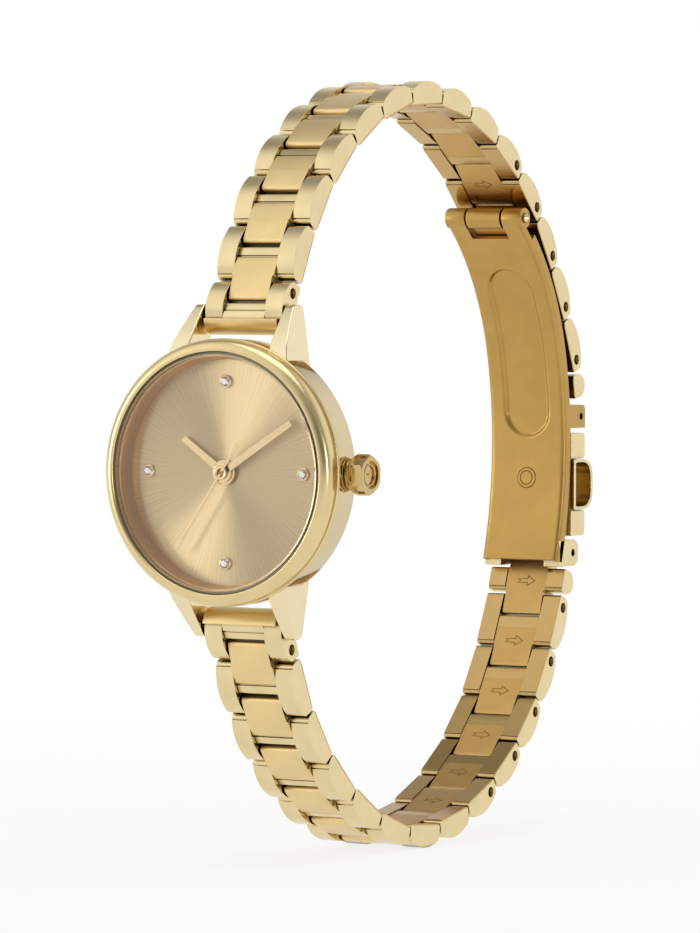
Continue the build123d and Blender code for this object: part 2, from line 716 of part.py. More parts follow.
def half_link():
    """Short link that ends in a loop round a clasp bar."""
    blocks = side_blocks(HALF_START, HALF_START + HALF_LONG)
    middle = centre_piece(-TONGUE_REACH, LINK_PITCH + TONGUE_REACH, HALF_START, False)
    narrow = block_between(
        -TONGUE_W / 2, TONGUE_W / 2, -BRACELET_W, BRACELET_W, HALF_START + HALF_LONG, LINK_PITCH + OVERRUN * 2
    )
    keep = block_between(
        -CENTRE_W, CENTRE_W, -BRACELET_W, BRACELET_W, -OVERRUN * 2, HALF_START + HALF_LONG
    )
    middle = (middle & keep) + (middle & narrow)
    middle = middle - rod(PIN_D + 2 * PIN_RUN, -BRACELET_W, BRACELET_W)
    middle = middle - rod(BAR_D + 2 * PIN_RUN, -BRACELET_W, BRACELET_W, 0, LINK_PITCH)
    return solids_of(*blocks, middle)


def end_link():
    """Short link between the lugs, drawn with the spring bar at the origin."""
    hinge = math.hypot(FIRST_HINGE_Z - BAR_Z, BAR_H - FIRST_HINGE_H)
    blocks = side_blocks(-PIN_TO_END, hinge + PIN_TO_END)
    blocks = drill(blocks, True, hinge)
    middle = centre_piece(-PIN_TO_END, hinge - TONGUE_REACH - SLOT_GAP, -PIN_TO_END, True)
    bar_hole = rod(BAR_D + 2 * PIN_RUN, -BRACELET_W, BRACELET_W)
    blocks = [block - bar_hole for block in blocks]
    return solids_of(*blocks, middle - bar_hole, link_pin(True, hinge))


def placed(solids, side, y, z, lean):
    """Puts a link on the 12 side (1) or the 6 side (-1): z is measured away from the dial's centre."""
    if side > 0:
        place = Pos(0, y, z) * Rot(-lean, 0, 0)
    else:
        place = Pos(0, y, -z) * Rot(lean, 0, 0) * Rot(0, 180, 0)
    return [place * solid for solid in solids]


def hinge_places(leans):
    """Hinges of one side in Y and distance from the dial's centre, from the first link's."""
    places = [(-FIRST_HINGE_H, FIRST_HINGE_Z)]
    for lean in leans:
        y, z = places[-1]
        turn = math.radians(lean)
        places.append((y + LINK_PITCH * math.sin(turn), z + LINK_PITCH * math.cos(turn)))
    return places


def chain(side, name, leans, half_lean, drilled_from):
    """All nodes of one side of the bracelet."""
    run = math.atan2(BAR_H - FIRST_HINGE_H, FIRST_HINGE_Z - BAR_Z)
    nodes = {f"{name}_end_link": placed(end_link(), side, -BAR_H, BAR_Z, math.degrees(run))}
    places = hinge_places(leans)
    plain = bracelet_link(False)
    drilled = bracelet_link(True)
    opened = bracelet_link(True, side < 0)
    for i, lean in enumerate(leans):
        last = i == len(leans) - 1
        solids = opened if last else drilled if i + 1 >= drilled_from else plain
        nodes[f"{name}_link_{i + 1:02d}"] = placed(solids, side, *places[i], lean)
    nodes[f"{name}_half_link"] = placed(half_link(), side, *places[-1], half_lean)
    return nodes


def spring_bar(half, y, z):
    """Sprung tube with thinner tips."""
    bar = rod(BAR_D, -half, half, y, z)
    return bar + rod(BAR_TIP_D, -half - BAR_TIP_LONG, half + BAR_TIP_LONG, y, z)


UPPER_BAR = hinge_places(UPPER_LEANS + (UPPER_HALF_LEAN,))[-1]
LOWER_BAR = hinge_places(LOWER_LEANS + (LOWER_HALF_LEAN,))[-1]


# Clasp. Its blades follow two arcs; a place on them is given by its turn from the farthest point.


def blade_arc(turn):
    """Centre and radius of the arc that holds this turn."""
    y, z = BLADE_FAR_Y - BLADE_LOW_R, BLADE_FAR_Z
    if turn < BLADE_JOIN_TURN:
        return y, z, BLADE_LOW_R
    join = math.radians(BLADE_JOIN_TURN)
    step = BLADE_LOW_R - BLADE_TOP_R
    return y + step * math.cos(join), z + step * math.sin(join), BLADE_TOP_R


def on_blade(turn, rise):
    """Point in Y and Z at a turn, raised outward from the inner blade's inner face."""
    y, z, radius = blade_arc(turn)
    angle = math.radians(turn)
    return y + (radius + rise) * math.cos(angle), z + (radius + rise) * math.sin(angle)


def blade_line(start, end, rise):
    """The blade's line between two turns, in one or two arcs."""
    split = start < BLADE_JOIN_TURN < end
    stops = (start, BLADE_JOIN_TURN, end) if split else (start, end)
    return [
        ThreePointArc(on_blade(low, rise), on_blade((low + high) / 2, rise), on_blade(high, rise))
        for low, high in zip(stops, stops[1:])
    ]


def band(start, end, low, high, x0, x1):
    """Part of a blade between two turns, two rises and two places along X."""
    ends = [Line(on_blade(turn, low), on_blade(turn, high)) for turn in (start, end)]
    outline = Curve() + blade_line(start, end, low) + blade_line(start, end, high) + ends
    return slab(make_face(outline), x0, x1)


def both_sides(body):
    """A piece and its mirror image across the bracelet's middle."""
    return body + body.mirror(Plane.YZ)


HINGE = on_blade(BLADE_TOP_TURN, KNUCKLE_D / 2)
NEST_RISE = BLADE_T + NEST_GAP
BLADE_FOOT_Z = -LOWER_BAR[1] - BLADE_FOOT_OUT
BLADE_FOOT_TURN = math.degrees(math.asin((BLADE_FOOT_Z - BLADE_FAR_Z) / BLADE_LOW_R))
STUD_TURN = math.degrees(math.asin((STUD_Z - BLADE_FAR_Z) / BLADE_LOW_R))
COVER_TOP_Z = UPPER_BAR[1] - UPPER_EAR_HALF - COVER_TOP_GAP
COVER_LOW_Z = LOWER_EAR_HALF - LOWER_BAR[1] + COVER_LOW_GAP
OUTER_FOOT_TURN = math.degrees(math.asin((COVER_LOW_Z - BLADE_FAR_Z) / BLADE_LOW_R))


def racetrack():
    """Long rounded cutter for the recess pressed into the inner blade."""
    shape = SlotOverall(RECESS_TOP_Z - RECESS_LOW_Z, RECESS_W, rotation=90)
    body = extrude(Plane.XZ * shape, amount=BLADE_FAR_Y, both=True)
    return Pos(0, BLADE_FAR_Y, (RECESS_TOP_Z + RECESS_LOW_Z) / 2) * body


def stud_rod(diameter, low, high):
    """Rod square to the blade at the snap stud, between two rises."""
    place = Pos(0, *on_blade(STUD_TURN, 0)) * Rot(STUD_TURN - 90, 0, 0)
    return place * Pos(0, 0, (low + high) / 2) * Cylinder(diameter / 2, high - low)


def ear(y, z, half, rise, corner, floor_y, x1):
    """Ear for a clasp bar: a block with two rounded outer corners."""
    far = y + rise
    outline = Polyline((floor_y, z - half), (far, z - half), (far, z + half), (floor_y, z + half), close=True)
    face = make_face(outline)
    face = fillet(face.vertices().sort_by(Axis.Y)[-2:], corner)
    hole = rod(BAR_TIP_D + 2 * BAR_TIP_FIT, -BLADE_W, BLADE_W, y, z)
    return slab(face, EAR_IN_X, x1) - hole


def lower_ear():
    foot_y = on_blade(BLADE_FOOT_TURN, 0)[0]
    y, z = LOWER_BAR
    return ear(y, -z, LOWER_EAR_HALF, LOWER_EAR_RISE, LOWER_EAR_R, foot_y, BLADE_W / 2)


def upper_ear():
    """Stands on the outer blade and passes over the inner blade's flange."""
    y, z = UPPER_BAR
    body = ear(y, z, UPPER_EAR_HALF, UPPER_EAR_RISE, UPPER_EAR_R, BLADE_FAR_Y - OVERRUN, EAR_OUT_X)
    span = OUTER_FOOT_TURN, BLADE_JOIN_TURN
    body = body - band(*span, -2 * OVERRUN, NEST_RISE, 0, BLADE_W)
    return body - band(*span, 0, FLANGE_H + NEST_GAP, OUTER_W / 2, BLADE_W)


def inner_blade():
    half = BLADE_W / 2
    plate = band(BLADE_FOOT_TURN, BLADE_TOP_TURN, 0, BLADE_T, -half, half)
    flange = band(BLADE_FOOT_TURN, FLANGE_TOP_TURN, 0, FLANGE_H, half - FLANGE_T, half)
    knuckle = rod(KNUCKLE_D, WINDOW_W / 2, half, *HINGE)
    body = plate + both_sides(flange + knuckle) + both_sides(lower_ear())
    body = body - rod(HINGE_PIN_D, -BLADE_W, BLADE_W, *HINGE)
    body = body - rod(2 * WINDOW_REACH, -WINDOW_W / 2, WINDOW_W / 2, *HINGE)
    skin = band(BLADE_FOOT_TURN, BLADE_TOP_TURN, -OVERRUN, RECESS_DEEP, -RECESS_W, RECESS_W)
    body = body - (skin & racetrack())
    return body - stud_rod(STUD_D, 0, OVERRUN) - stud_rod(STUD_HEAD_D, -OVERRUN, STUD_HEAD_T)


def outer_blade():
    high = NEST_RISE + BLADE_T
    plate = band(OUTER_FOOT_TURN, OUTER_TOP_TURN, NEST_RISE, high, -OUTER_W / 2, OUTER_W / 2)
    tongue = band(OUTER_TOP_TURN - OVERRUN, BLADE_TOP_TURN, NEST_RISE, high, -CURL_W / 2, CURL_W / 2)
    curl = rod(KNUCKLE_D, -CURL_W / 2, CURL_W / 2, *HINGE)
    body = plate + tongue + curl + both_sides(upper_ear())
    body = body - rod(HINGE_PIN_D + 2 * PIN_RUN, -BLADE_W, BLADE_W, *HINGE)
    return body - stud_rod(STUD_D + 2 * STUD_RUN, 0, 2 * FLANGE_H)


def clasp_hinge_pin():
    half = BLADE_W / 2 + HINGE_PIN_OUT
    pin = rod(HINGE_PIN_D, -half, half, *HINGE)
    return chamfer(pin.edges().filter_by(GeomType.CIRCLE), HINGE_PIN_BEVEL)


def snap_stud():
    return stud_rod(STUD_HEAD_D, -STUD_HEAD_OUT, STUD_HEAD_T) + stud_rod(STUD_D, 0, STUD_LONG)


def cover_block(z0, z1):
    """Three blocks across the clasp that look like a short link."""
    half = CENTRE_W / 2
    right = block_between(half, BRACELET_W / 2, COVER_FLOOR_Y, COVER_TOP_Y, z0, z1)
    outer_edges = right.faces().sort_by(Axis.Y)[-1].edges().filter_by(Axis.X)
    right = rounded_rim(fillet(outer_edges, COVER_R), BLOCK_RIM_R)
    middle = block_between(-half, half, COVER_FLOOR_Y, COVER_TOP_Y - STRIP_DROP, z0, z1)
    return [right.mirror(Plane.YZ), middle, right]


def clasp_cover():
    """A floor on the outer blade and two rows of blocks, one at each end of the pull tab."""
    half = OUTER_W / 2
    floor = block_between(-half, half, BLADE_FAR_Y - OVERRUN, COVER_FLOOR_Y, COVER_LOW_Z, COVER_TOP_Z)
    blade = OUTER_FOOT_TURN - OVERRUN, BLADE_JOIN_TURN, -2 * OVERRUN, NEST_RISE + BLADE_T
    floor = floor - band(*blade, -half, half)
    floor = floor - stud_rod(STUD_D + 2 * STUD_RUN, 0, STUD_LONG + STUD_RUN)
    top = cover_block(COVER_TOP_Z - COVER_BLOCK_LONG, COVER_TOP_Z)
    low = cover_block(COVER_LOW_Z, COVER_LOW_Z + COVER_BLOCK_LONG)
    return solids_of(floor, *top, *low)


def pull_tab():
    """Hollow arched tab to lift the clasp by, open at both ends."""
    z0 = COVER_LOW_Z + COVER_BLOCK_LONG + TAB_GAP
    z1 = COVER_TOP_Z - COVER_BLOCK_LONG - TAB_GAP
    corners = (COVER_FLOOR_Y, z1), (COVER_FLOOR_Y, z0), (TAB_FAR_Y, z0), (COVER_TOP_Y, z1)
    middle = ((TAB_FAR_Y + COVER_TOP_Y) / 2 + TAB_BULGE, (z0 + z1) / 2)
    sides = [Line(corners[0], corners[1]), Line(corners[1], corners[2]), Line(corners[3], corners[0])]
    face = make_face(Curve() + sides + [ThreePointArc(corners[2], middle, corners[3])])
    face = fillet(face.vertices(), TAB_R)
    hollow = offset(face, -TAB_WALL)
    half = TAB_W / 2
    return slab(face, -half, half) - slab(hollow, -half - OVERRUN, half + OVERRUN)


def four_stones(maker):
    """One piece at each stone's place."""
    return [maker(x, z) for x, z in stone_places()]


def clasp_nodes():
    bar_half = EAR_IN_X
    y, z = UPPER_BAR
    low_y, low_z = LOWER_BAR
    return {
        "outer_blade": outer_blade(),
        "clasp_cover": clasp_cover(),
        "pull_tab": pull_tab(),
        "inner_blade": inner_blade(),
        "clasp_hinge_pin": clasp_hinge_pin(),
        "snap_stud": snap_stud(),
        "upper_clasp_bar": spring_bar(bar_half, y, z),
        "lower_clasp_bar": spring_bar(bar_half, low_y, -low_z),
    }


def case_nodes():
    return {
        "case_body": case_body(),
        "bezel": bezel(),
        "crystal": crystal(),
        "crystal_gasket": crystal_gasket(),
        "dial_ring": dial_ring(),
        "dial": dial(),
        "stone_settings": four_stones(stone_setting),
        "dial_stones": four_stones(stone),
        "case_back": case_back(),
        "case_back_gasket": case_back_gasket(),
        "crown_tube": crown_tube(),
        "lug_spring_bars": [spring_bar(LUG_GAP / 2, -BAR_H, z) for z in (BAR_Z, -BAR_Z)],
    }


def movement_nodes():
    return {
        "movement_holder": movement_holder(),
        "movement_plate": movement_plate(),
        "battery": battery(),
        "drive_coil": drive_coil(),
        "setting_lever": setting_lever(),
        "clutch_pinion": clutch_pinion(),
        "winding_stem": winding_stem(),
        "crown": crown(),
        "hour_hand": hour_hand(),
        "minute_hand": minute_hand(),
        "seconds_hand": seconds_hand(),
    }


def write_parts():
    os.makedirs("parts", exist_ok=True)
    nodes = {**case_nodes(), **movement_nodes(), **clasp_nodes()}
    nodes.update(chain(1, "upper", UPPER_LEANS, UPPER_HALF_LEAN, UPPER_DRILLED_FROM))
    nodes.update(chain(-1, "lower", LOWER_LEANS, LOWER_HALF_LEAN, LOWER_DRILLED_FROM))
    for name, shape in nodes.items():
        solids = solids_of(*shape) if isinstance(shape, list) else shape.solids()
        whole = solids[0] if len(solids) == 1 else Compound(children=list(solids))
        export_step(whole, f"parts/{name}.step")
    print(len(nodes), "nodes; upper bar", UPPER_BAR, "lower bar", LOWER_BAR, "hinge", HINGE)


write_parts()
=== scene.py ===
from math import asin, copysign, cos, degrees, dist, hypot, pi, radians, sin, sqrt

import bmesh
import bpy
from mathutils import Matrix, Vector
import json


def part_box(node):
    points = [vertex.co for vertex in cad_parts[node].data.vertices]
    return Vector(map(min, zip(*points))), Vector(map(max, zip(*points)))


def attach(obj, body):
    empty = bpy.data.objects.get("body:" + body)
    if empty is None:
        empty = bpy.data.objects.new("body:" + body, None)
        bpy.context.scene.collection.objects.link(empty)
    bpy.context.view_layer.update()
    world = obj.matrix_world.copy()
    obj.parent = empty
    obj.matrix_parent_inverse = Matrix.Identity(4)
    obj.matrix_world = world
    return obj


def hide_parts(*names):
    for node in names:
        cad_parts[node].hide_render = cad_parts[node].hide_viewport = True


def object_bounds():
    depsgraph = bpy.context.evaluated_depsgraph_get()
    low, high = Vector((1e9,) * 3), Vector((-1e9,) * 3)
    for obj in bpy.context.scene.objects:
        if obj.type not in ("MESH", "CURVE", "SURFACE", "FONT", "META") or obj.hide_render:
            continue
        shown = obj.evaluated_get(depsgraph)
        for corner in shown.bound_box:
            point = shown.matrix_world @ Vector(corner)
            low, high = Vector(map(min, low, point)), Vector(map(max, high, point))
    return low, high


# A ladies' bracelet watch. Sizes are in millimetres, and meshes are scaled to metres once.
# The dial faces -Y, 12 o'clock is up and the crown is at +X. Heights in the case run towards -Y.

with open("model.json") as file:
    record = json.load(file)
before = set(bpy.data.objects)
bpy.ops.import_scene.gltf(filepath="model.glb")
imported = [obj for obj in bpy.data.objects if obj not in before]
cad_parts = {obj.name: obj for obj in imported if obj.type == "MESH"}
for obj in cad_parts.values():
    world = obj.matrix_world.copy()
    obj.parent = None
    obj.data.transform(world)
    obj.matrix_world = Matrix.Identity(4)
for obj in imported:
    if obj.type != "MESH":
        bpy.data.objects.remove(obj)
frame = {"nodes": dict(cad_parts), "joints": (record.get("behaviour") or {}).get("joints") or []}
cad_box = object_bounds()

MM = 0.001
JOINTS = {joint["name"]: joint for joint in frame["joints"]}
QUARTER = pi / 2

# Materials

BUMP_DISTANCE = 0.00002
CLOUD_SCALE = 350.0
GRAIN_SCALE = 1000
SPECK_SCALE = 900.0
SPECK = 0.06
METAL_IOR = 1.6


class Tree:
    """Helpers for the nodes of a material or a world."""

    def __init__(self, owner, place):
        owner.use_nodes = True
        self.nodes = owner.node_tree.nodes
        self.links = owner.node_tree.links
        self.place = self.nodes.new("ShaderNodeTexCoord").outputs[place]

    def node(self, kind, *sources, **values):
        """A node with its properties set and its first inputs linked to the sources."""
        made = self.nodes.new(kind)
        for name, value in values.items():
            setattr(made, name, value)
        for source, socket in zip(sources, made.inputs):
            self.links.new(source, socket)
        return made

    def calculated(self, operation, *values):
        return self.node("ShaderNodeMath", *values, operation=operation).outputs[0]

    def combined(self, operation, first, second):
        return self.node("ShaderNodeVectorMath", first, second, operation=operation).outputs[0]

    def split(self):
        return self.node("ShaderNodeSeparateXYZ", self.place).outputs

    def stretched(self, scale):
        mapping = self.node("ShaderNodeMapping", self.place)
        mapping.inputs["Scale"].default_value = scale
        return mapping.outputs["Vector"]

    def noise(self, scale, place=None, detail=3.0, roughness=0.5, along=None):
        made = self.node("ShaderNodeTexNoise", noise_dimensions="1D" if along else "3D")
        made.inputs["Scale"].default_value = scale
        made.inputs["Detail"].default_value = detail
        made.inputs["Roughness"].default_value = roughness
        self.links.new(along or place or self.place, made.inputs["W" if along else "Vector"])
        return made.outputs["Fac"]

    def ramp(self, value, stops, easing="LINEAR"):
        """Colour ramp from (position, colour) stops; a number stands for a grey."""
        made = self.node("ShaderNodeValToRGB", value)
        made.color_ramp.interpolation = easing
        for element, (position, colour) in zip(made.color_ramp.elements, stops):
            element.position = position
            grey = isinstance(colour, (int, float))
            element.color = (colour, colour, colour, 1) if grey else (*colour, 1)
        return made.outputs["Color"]


class Paint(Tree):
    """A new material with its shader."""

    def __init__(self, name):
        self.material = bpy.data.materials.new(name)
        super().__init__(self.material, "Object")
        self.shader = self.nodes["Principled BSDF"]

    def set(self, **values):
        """Sets sockets of the shader by name, with spaces as underscores."""
        for name, value in values.items():
            self.shader.inputs[name.replace("_", " ")].default_value = value

    def feed(self, value, socket):
        self.links.new(value, self.shader.inputs[socket])

    def bump(self, value, strength):
        made = self.node("ShaderNodeBump")
        made.inputs["Strength"].default_value = strength
        made.inputs["Distance"].default_value = BUMP_DISTANCE
        self.links.new(value, made.inputs["Height"])
        self.feed(made.outputs["Normal"], "Normal")

    def mixed(self, share, second):
        mix = self.node("ShaderNodeMixShader", share, self.shader.outputs["BSDF"], second)
        self.links.new(mix.outputs["Shader"], self.nodes["Material Output"].inputs["Surface"])


def shade(colour, share):
    """A colour made darker or lighter by a share."""
    return tuple(min(1.0, channel * share) for channel in colour)


def spread(colour, share):
    """Ramp stops from a little darker than a colour to a little lighter."""
    return [(0.3, shade(colour, 1 - share)), (0.7, shade(colour, 1 + share))]


# Painted shade on the inner faces of links: the tone they are darkened to, and where it starts.
INNER_SHADE = (0.70, 0.57, 0.40)
SHADE_FROM_Y = 0.82
SHADE_TO_Y = 0.88
SHADE_SPAN = 2.0
# Painted shade in the seams between pieces: reach, samples and stops of the occlusion.
SEAM_REACH = 0.45
SEAM_SAMPLES = 6
SEAM_STOPS = [(0.3, 0.05), (0.82, 1.0)]


def painted_inner_shade(paint):
    """Painted shade: the warmer, deeper tone of a link's inner face, by how far in a place lies."""
    depth = paint.node("ShaderNodeMath", paint.split()["Y"], operation="MULTIPLY")
    depth.inputs[1].default_value = 1 / (SHADE_SPAN * MM)
    stops = [(SHADE_FROM_Y / SHADE_SPAN, 1.0), (SHADE_TO_Y / SHADE_SPAN, INNER_SHADE)]
    return paint.ramp(depth.outputs[0], stops)


def painted_seam_shade(paint):
    """Painted shade: ambient occlusion darkens the colour in the narrow seams between pieces."""
    reach = paint.node("ShaderNodeAmbientOcclusion", samples=SEAM_SAMPLES)
    reach.inputs["Distance"].default_value = SEAM_REACH * MM
    return paint.ramp(reach.outputs["AO"], SEAM_STOPS)


EVEN = (300, 300, 300)
ALONG = (900, 900, 30)
ACROSS = (30, 900, 900)
ROUND_LOOP = (900, 40, 40)
WOUND = (2500, 40, 40)


def metal(name, colour, rough, grain=EVEN, depth=0.03, cloud=0.05, inner=False, seams=False):
    """A metal with slow clouds and a fine grain, which can be stretched one way, and painted shade
    on inner faces and in seams where asked.
    """
    paint = Paint(name)
    paint.set(Metallic=1.0, IOR=METAL_IOR)
    tone = paint.ramp(paint.noise(CLOUD_SCALE, detail=4), spread(colour, cloud))
    # Painted shade: the inner faces of links are darkened.
    if inner:
        tone = paint.combined("MULTIPLY", tone, painted_inner_shade(paint))
    # Painted shade: the colour is darkened in the seams between pieces.
    if seams:
        tone = paint.combined("MULTIPLY", tone, painted_seam_shade(paint))
    paint.feed(tone, "Base Color")
    fine = paint.noise(GRAIN_SCALE, paint.stretched(grain), detail=6, roughness=0.65)
    paint.feed(paint.ramp(fine, [(0.25, rough * 0.75), (0.75, rough * 1.3)]), "Roughness")
    paint.bump(fine, depth)
    return paint.material


GOLD_BRIGHT = (0.80, 0.65, 0.36)
GOLD_LINK = shade(GOLD_BRIGHT, 0.98)
GOLD_SATIN = (0.79, 0.60, 0.29)

polish = metal("polished_gold", GOLD_BRIGHT, 0.14, depth=0.05)
case_polish = metal("case_gold", (0.84, 0.71, 0.44), 0.10, cloud=0.02)
# Painted shade: the flank of the case is a darker copy of the case gold used on the lugs.
shaded_flank_polish = metal("shaded_flank_gold", (0.66, 0.55, 0.34), 0.10, cloud=0.02)
bezel_satin = metal("bezel_gold", (0.74, 0.59, 0.31), 0.25)
# Link metals carry painted shade in the seams, and blocks and panels also on their inner faces.
link_polish = metal("link_gold", GOLD_LINK, 0.2, ALONG, 0.06, seams=True)
brush = metal("brushed_gold", GOLD_SATIN, 0.34, ALONG, 0.35)
block_gold = metal("block_gold", GOLD_LINK, 0.2, ALONG, 0.06, inner=True, seams=True)
panel_gold = metal("panel_gold", GOLD_SATIN, 0.34, ALONG, 0.35, inner=True, seams=True)
blade_brush = metal("blade_gold", (0.50, 0.31, 0.09), 0.34, ROUND_LOOP, 0.3)
hand_gold = metal("hand_gold", (0.84, 0.64, 0.34), 0.2)
# Painted shade and highlight: the seconds cap is a dark orange-brown, for the dark hub centre and
# its orange highlight.
shaded_cap_gold = metal("shaded_cap_gold", (0.50, 0.26, 0.06), 0.12)
# Painted shade: the crown is a darker, more orange copy of the gold, for the dark case and bezel it
# reflects.
shaded_crown_gold = metal("shaded_crown_gold", (0.62, 0.44, 0.19), 0.11)
# Painted shade: the pins are a dark brown-grey, for the shade in the pin holes of the links.
shaded_pin_metal = metal("shaded_pin_metal", (0.34, 0.27, 0.17), 0.28, ACROSS, 0.2)
# Dark gold for the engraved arrows, and painted shade in the rivet head's groove and round its
# edge.
engraving_and_shade = metal("engraving_and_shade_gold", (0.30, 0.18, 0.06), 0.5, depth=0.3)
steel = metal("plain_steel", (0.62, 0.61, 0.58), 0.28, ACROSS, 0.2)
cell = metal("cell_steel", (0.70, 0.70, 0.71), 0.18, depth=0.1)
nickel = metal("movement_nickel", (0.62, 0.59, 0.52), 0.3, ROUND_LOOP, 0.4)
copper = metal("coil_copper", (0.72, 0.34, 0.18), 0.35, WOUND, 0.8)

SUNRAY_STOPS = [(0.3, (0.57, 0.42, 0.21)), (0.7, (0.74, 0.58, 0.33))]
SUNRAY_LINES = 60
REHAUT_STOPS = [(0.3, (0.78, 0.46, 0.17)), (0.7, (0.90, 0.57, 0.24))]
REHAUT_ROUGH_STOPS = [(0.3, 0.24), (0.7, 0.38)]
REHAUT_GRAIN = (6, 1800, 6)


def dial_paint():
    """Sunray: radial grain round the dial's axis, and a gloss that follows it."""
    paint = Paint("sunray_dial")
    paint.set(Metallic=1.0, Roughness=0.4, Anisotropic=0.95)
    tangent = paint.node("ShaderNodeTangent", direction_type="RADIAL", axis="Y")
    paint.feed(tangent.outputs["Tangent"], "Tangent")
    place = paint.split()
    turn = paint.calculated("ARCTAN2", place["X"], place["Z"])
    fine = paint.noise(SUNRAY_LINES, detail=5, roughness=0.7, along=turn)
    paint.feed(paint.ramp(fine, SUNRAY_STOPS), "Base Color")
    return paint.material


def rehaut_paint():
    """The ring round the dial: fine lines round the axis."""
    paint = Paint("rehaut_gold")
    paint.set(Metallic=1.0)
    fine = paint.noise(GRAIN_SCALE, paint.stretched(REHAUT_GRAIN), detail=5)
    paint.feed(paint.ramp(fine, REHAUT_STOPS), "Base Color")
    paint.feed(paint.ramp(fine, REHAUT_ROUGH_STOPS), "Roughness")
    paint.bump(fine, 0.2)
    return paint.material


def clear(name, ior, cloud, mirror=0.0):
    """Clear glass that lets the lamps through, or a foiled stone."""
    paint = Paint(name)
    paint.set(Transmission_Weight=1.0, IOR=ior, Base_Color=(1, 1, 1, 1), Metallic=mirror)
    slow = paint.noise(cloud, detail=2)
    paint.feed(paint.ramp(slow, [(0.4, 0.0), (0.6, 0.01)]), "Roughness")
    path = paint.node("ShaderNodeLightPath")
    through = paint.node("ShaderNodeBsdfTransparent")
    paint.mixed(path.outputs["Is Shadow Ray"], through.outputs["BSDF"])
    return paint.material


def plain(name, colour, rough):
    """Moulded plastic or rubber with a faint mottle."""
    paint = Paint(name)
    slow = paint.noise(SPECK_SCALE, detail=5)
    paint.feed(paint.ramp(slow, spread(colour, SPECK)), "Base Color")
    paint.feed(paint.ramp(slow, [(0.3, rough * 0.9), (0.7, rough * 1.1)]), "Roughness")
    paint.bump(slow, 0.1)
    return paint.material


sunray = dial_paint()
rehaut = rehaut_paint()
crystal_glass = clear("crystal_glass", ior=1.46, cloud=40.0)
stone_glass = clear("stone_glass", ior=2.1, cloud=900.0, mirror=0.7)
rubber = plain("gasket_rubber", (0.03, 0.028, 0.026), 0.6)
crystal_seal = plain("crystal_seal", (0.34, 0.27, 0.17), 0.4)
holder_plastic = plain("holder_plastic", (0.78, 0.77, 0.73), 0.5)

# Mesh helpers

TURN_STEPS = 160
FINE_STEPS = 256
MERGE_DISTANCE = 0.0001
ABOUT_X = Matrix.Rotation(QUARTER, 4, "Z")
BORE_TURN = Matrix.Rotation(-QUARTER, 4, "Z")


def mesh_of(name, bm, smooth=True):
    """Finished mesh in metres from a bmesh in millimetres."""
    bmesh.ops.recalc_face_normals(bm, faces=bm.faces)
    mesh = bpy.data.meshes.new(name)
    bm.to_mesh(mesh)
    bm.free()
    mesh.transform(Matrix.Scale(MM, 4))
    for polygon in mesh.polygons:
        polygon.use_smooth = smooth
    return mesh


def placed(name, data):
    made = bpy.data.objects.new(name, data)
    bpy.context.scene.collection.objects.link(made)
    return made


def add_bevel(thing, width, segments, angle):
    edge = thing.modifiers.new("edge", "BEVEL")
    edge.width = width * MM
    edge.segments = segments
    edge.limit_method = "ANGLE"
    edge.angle_limit = radians(angle)
    edge.harden_normals = True


def applied(raw, name):
    """The mesh of an object with its modifiers applied. The object is removed."""
    made = bpy.data.meshes.new_from_object(raw.evaluated_get(bpy.context.evaluated_depsgraph_get()))
    made.name = name
    bpy.data.objects.remove(raw)
    return made


def baked(name, bm, width=0.0, segments=3, angle=35, cutters=()):
    """Mesh of a bmesh after its cuts and a bevel that keeps flat faces flat."""
    raw = placed(name, mesh_of(name, bm))
    tools = [placed(name + "_cutter", cutter) for cutter in cutters]
    for tool in tools:
        cut = raw.modifiers.new("cut", "BOOLEAN")
        cut.operation = "DIFFERENCE"
        cut.solver = "EXACT"
        cut.object = tool
    if width:
        add_bevel(raw, width, segments, angle)
    made = applied(raw, name)
    for tool in tools:
        bpy.data.objects.remove(tool)
    for polygon in made.polygons:
        polygon.use_smooth = True
    return made


def bridge(bm, first, second):
    """Faces between two closed rings of points."""
    for i in range(len(first)):
        j = (i + 1) % len(first)
        bm.faces.new((first[i], first[j], second[j], second[i]))


def between(first, second):
    """Closed solid between two rings of places."""
    bm = bmesh.new()
    rings = [[bm.verts.new(place) for place in ring] for ring in (first, second)]
    bm.faces.new(rings[0])
    bm.faces.new(rings[1])
    bridge(bm, *rings)
    return bm


def loop_of(rings):
    """Walls from each ring of places to the next, in a closed loop."""
    bm = bmesh.new()
    made = [[bm.verts.new(place) for place in ring] for ring in rings]
    for i, ring in enumerate(made):
        bridge(bm, made[i - 1], ring)
    return bm


def prism(outline, x0, x1):
    """Outline in Y and Z, carried from one place along X to another."""
    return between(*([(x, y, z) for y, z in outline] for x in (x0, x1)))


def loft(sections):
    """Four-cornered sections up Z: (z, low x, high x, outer y, inner y)."""
    bm = bmesh.new()
    rings = []
    for z, x0, x1, outer, inner in sections:
        corners = (x0, outer), (x1, outer), (x1, inner), (x0, inner)
        rings.append([bm.verts.new((x, y, z)) for x, y in corners])
    for low, high in zip(rings, rings[1:]):
        bridge(bm, low, high)
    bm.faces.new(rings[0])
    bm.faces.new(rings[-1])
    return bm


def lathe(profile, closed=True, steps=TURN_STEPS):
    """Turns (radius, height) points round the dial's axis; heights run towards -Y."""
    bm = bmesh.new()
    rings = []
    for i in range(steps):
        angle = 2 * pi * i / steps
        c, s = cos(angle), sin(angle)
        rings.append([bm.verts.new((r * c, -h, r * s)) for r, h in profile])
    spans = list(zip(range(len(profile)), range(1, len(profile))))
    if closed:
        spans.append((len(profile) - 1, 0))
    for i in range(steps):
        here, there = rings[i], rings[(i + 1) % steps]
        for a, b in spans:
            bm.faces.new((here[a], here[b], there[b], there[a]))
    bmesh.ops.remove_doubles(bm, verts=bm.verts, dist=MERGE_DISTANCE)
    return bm


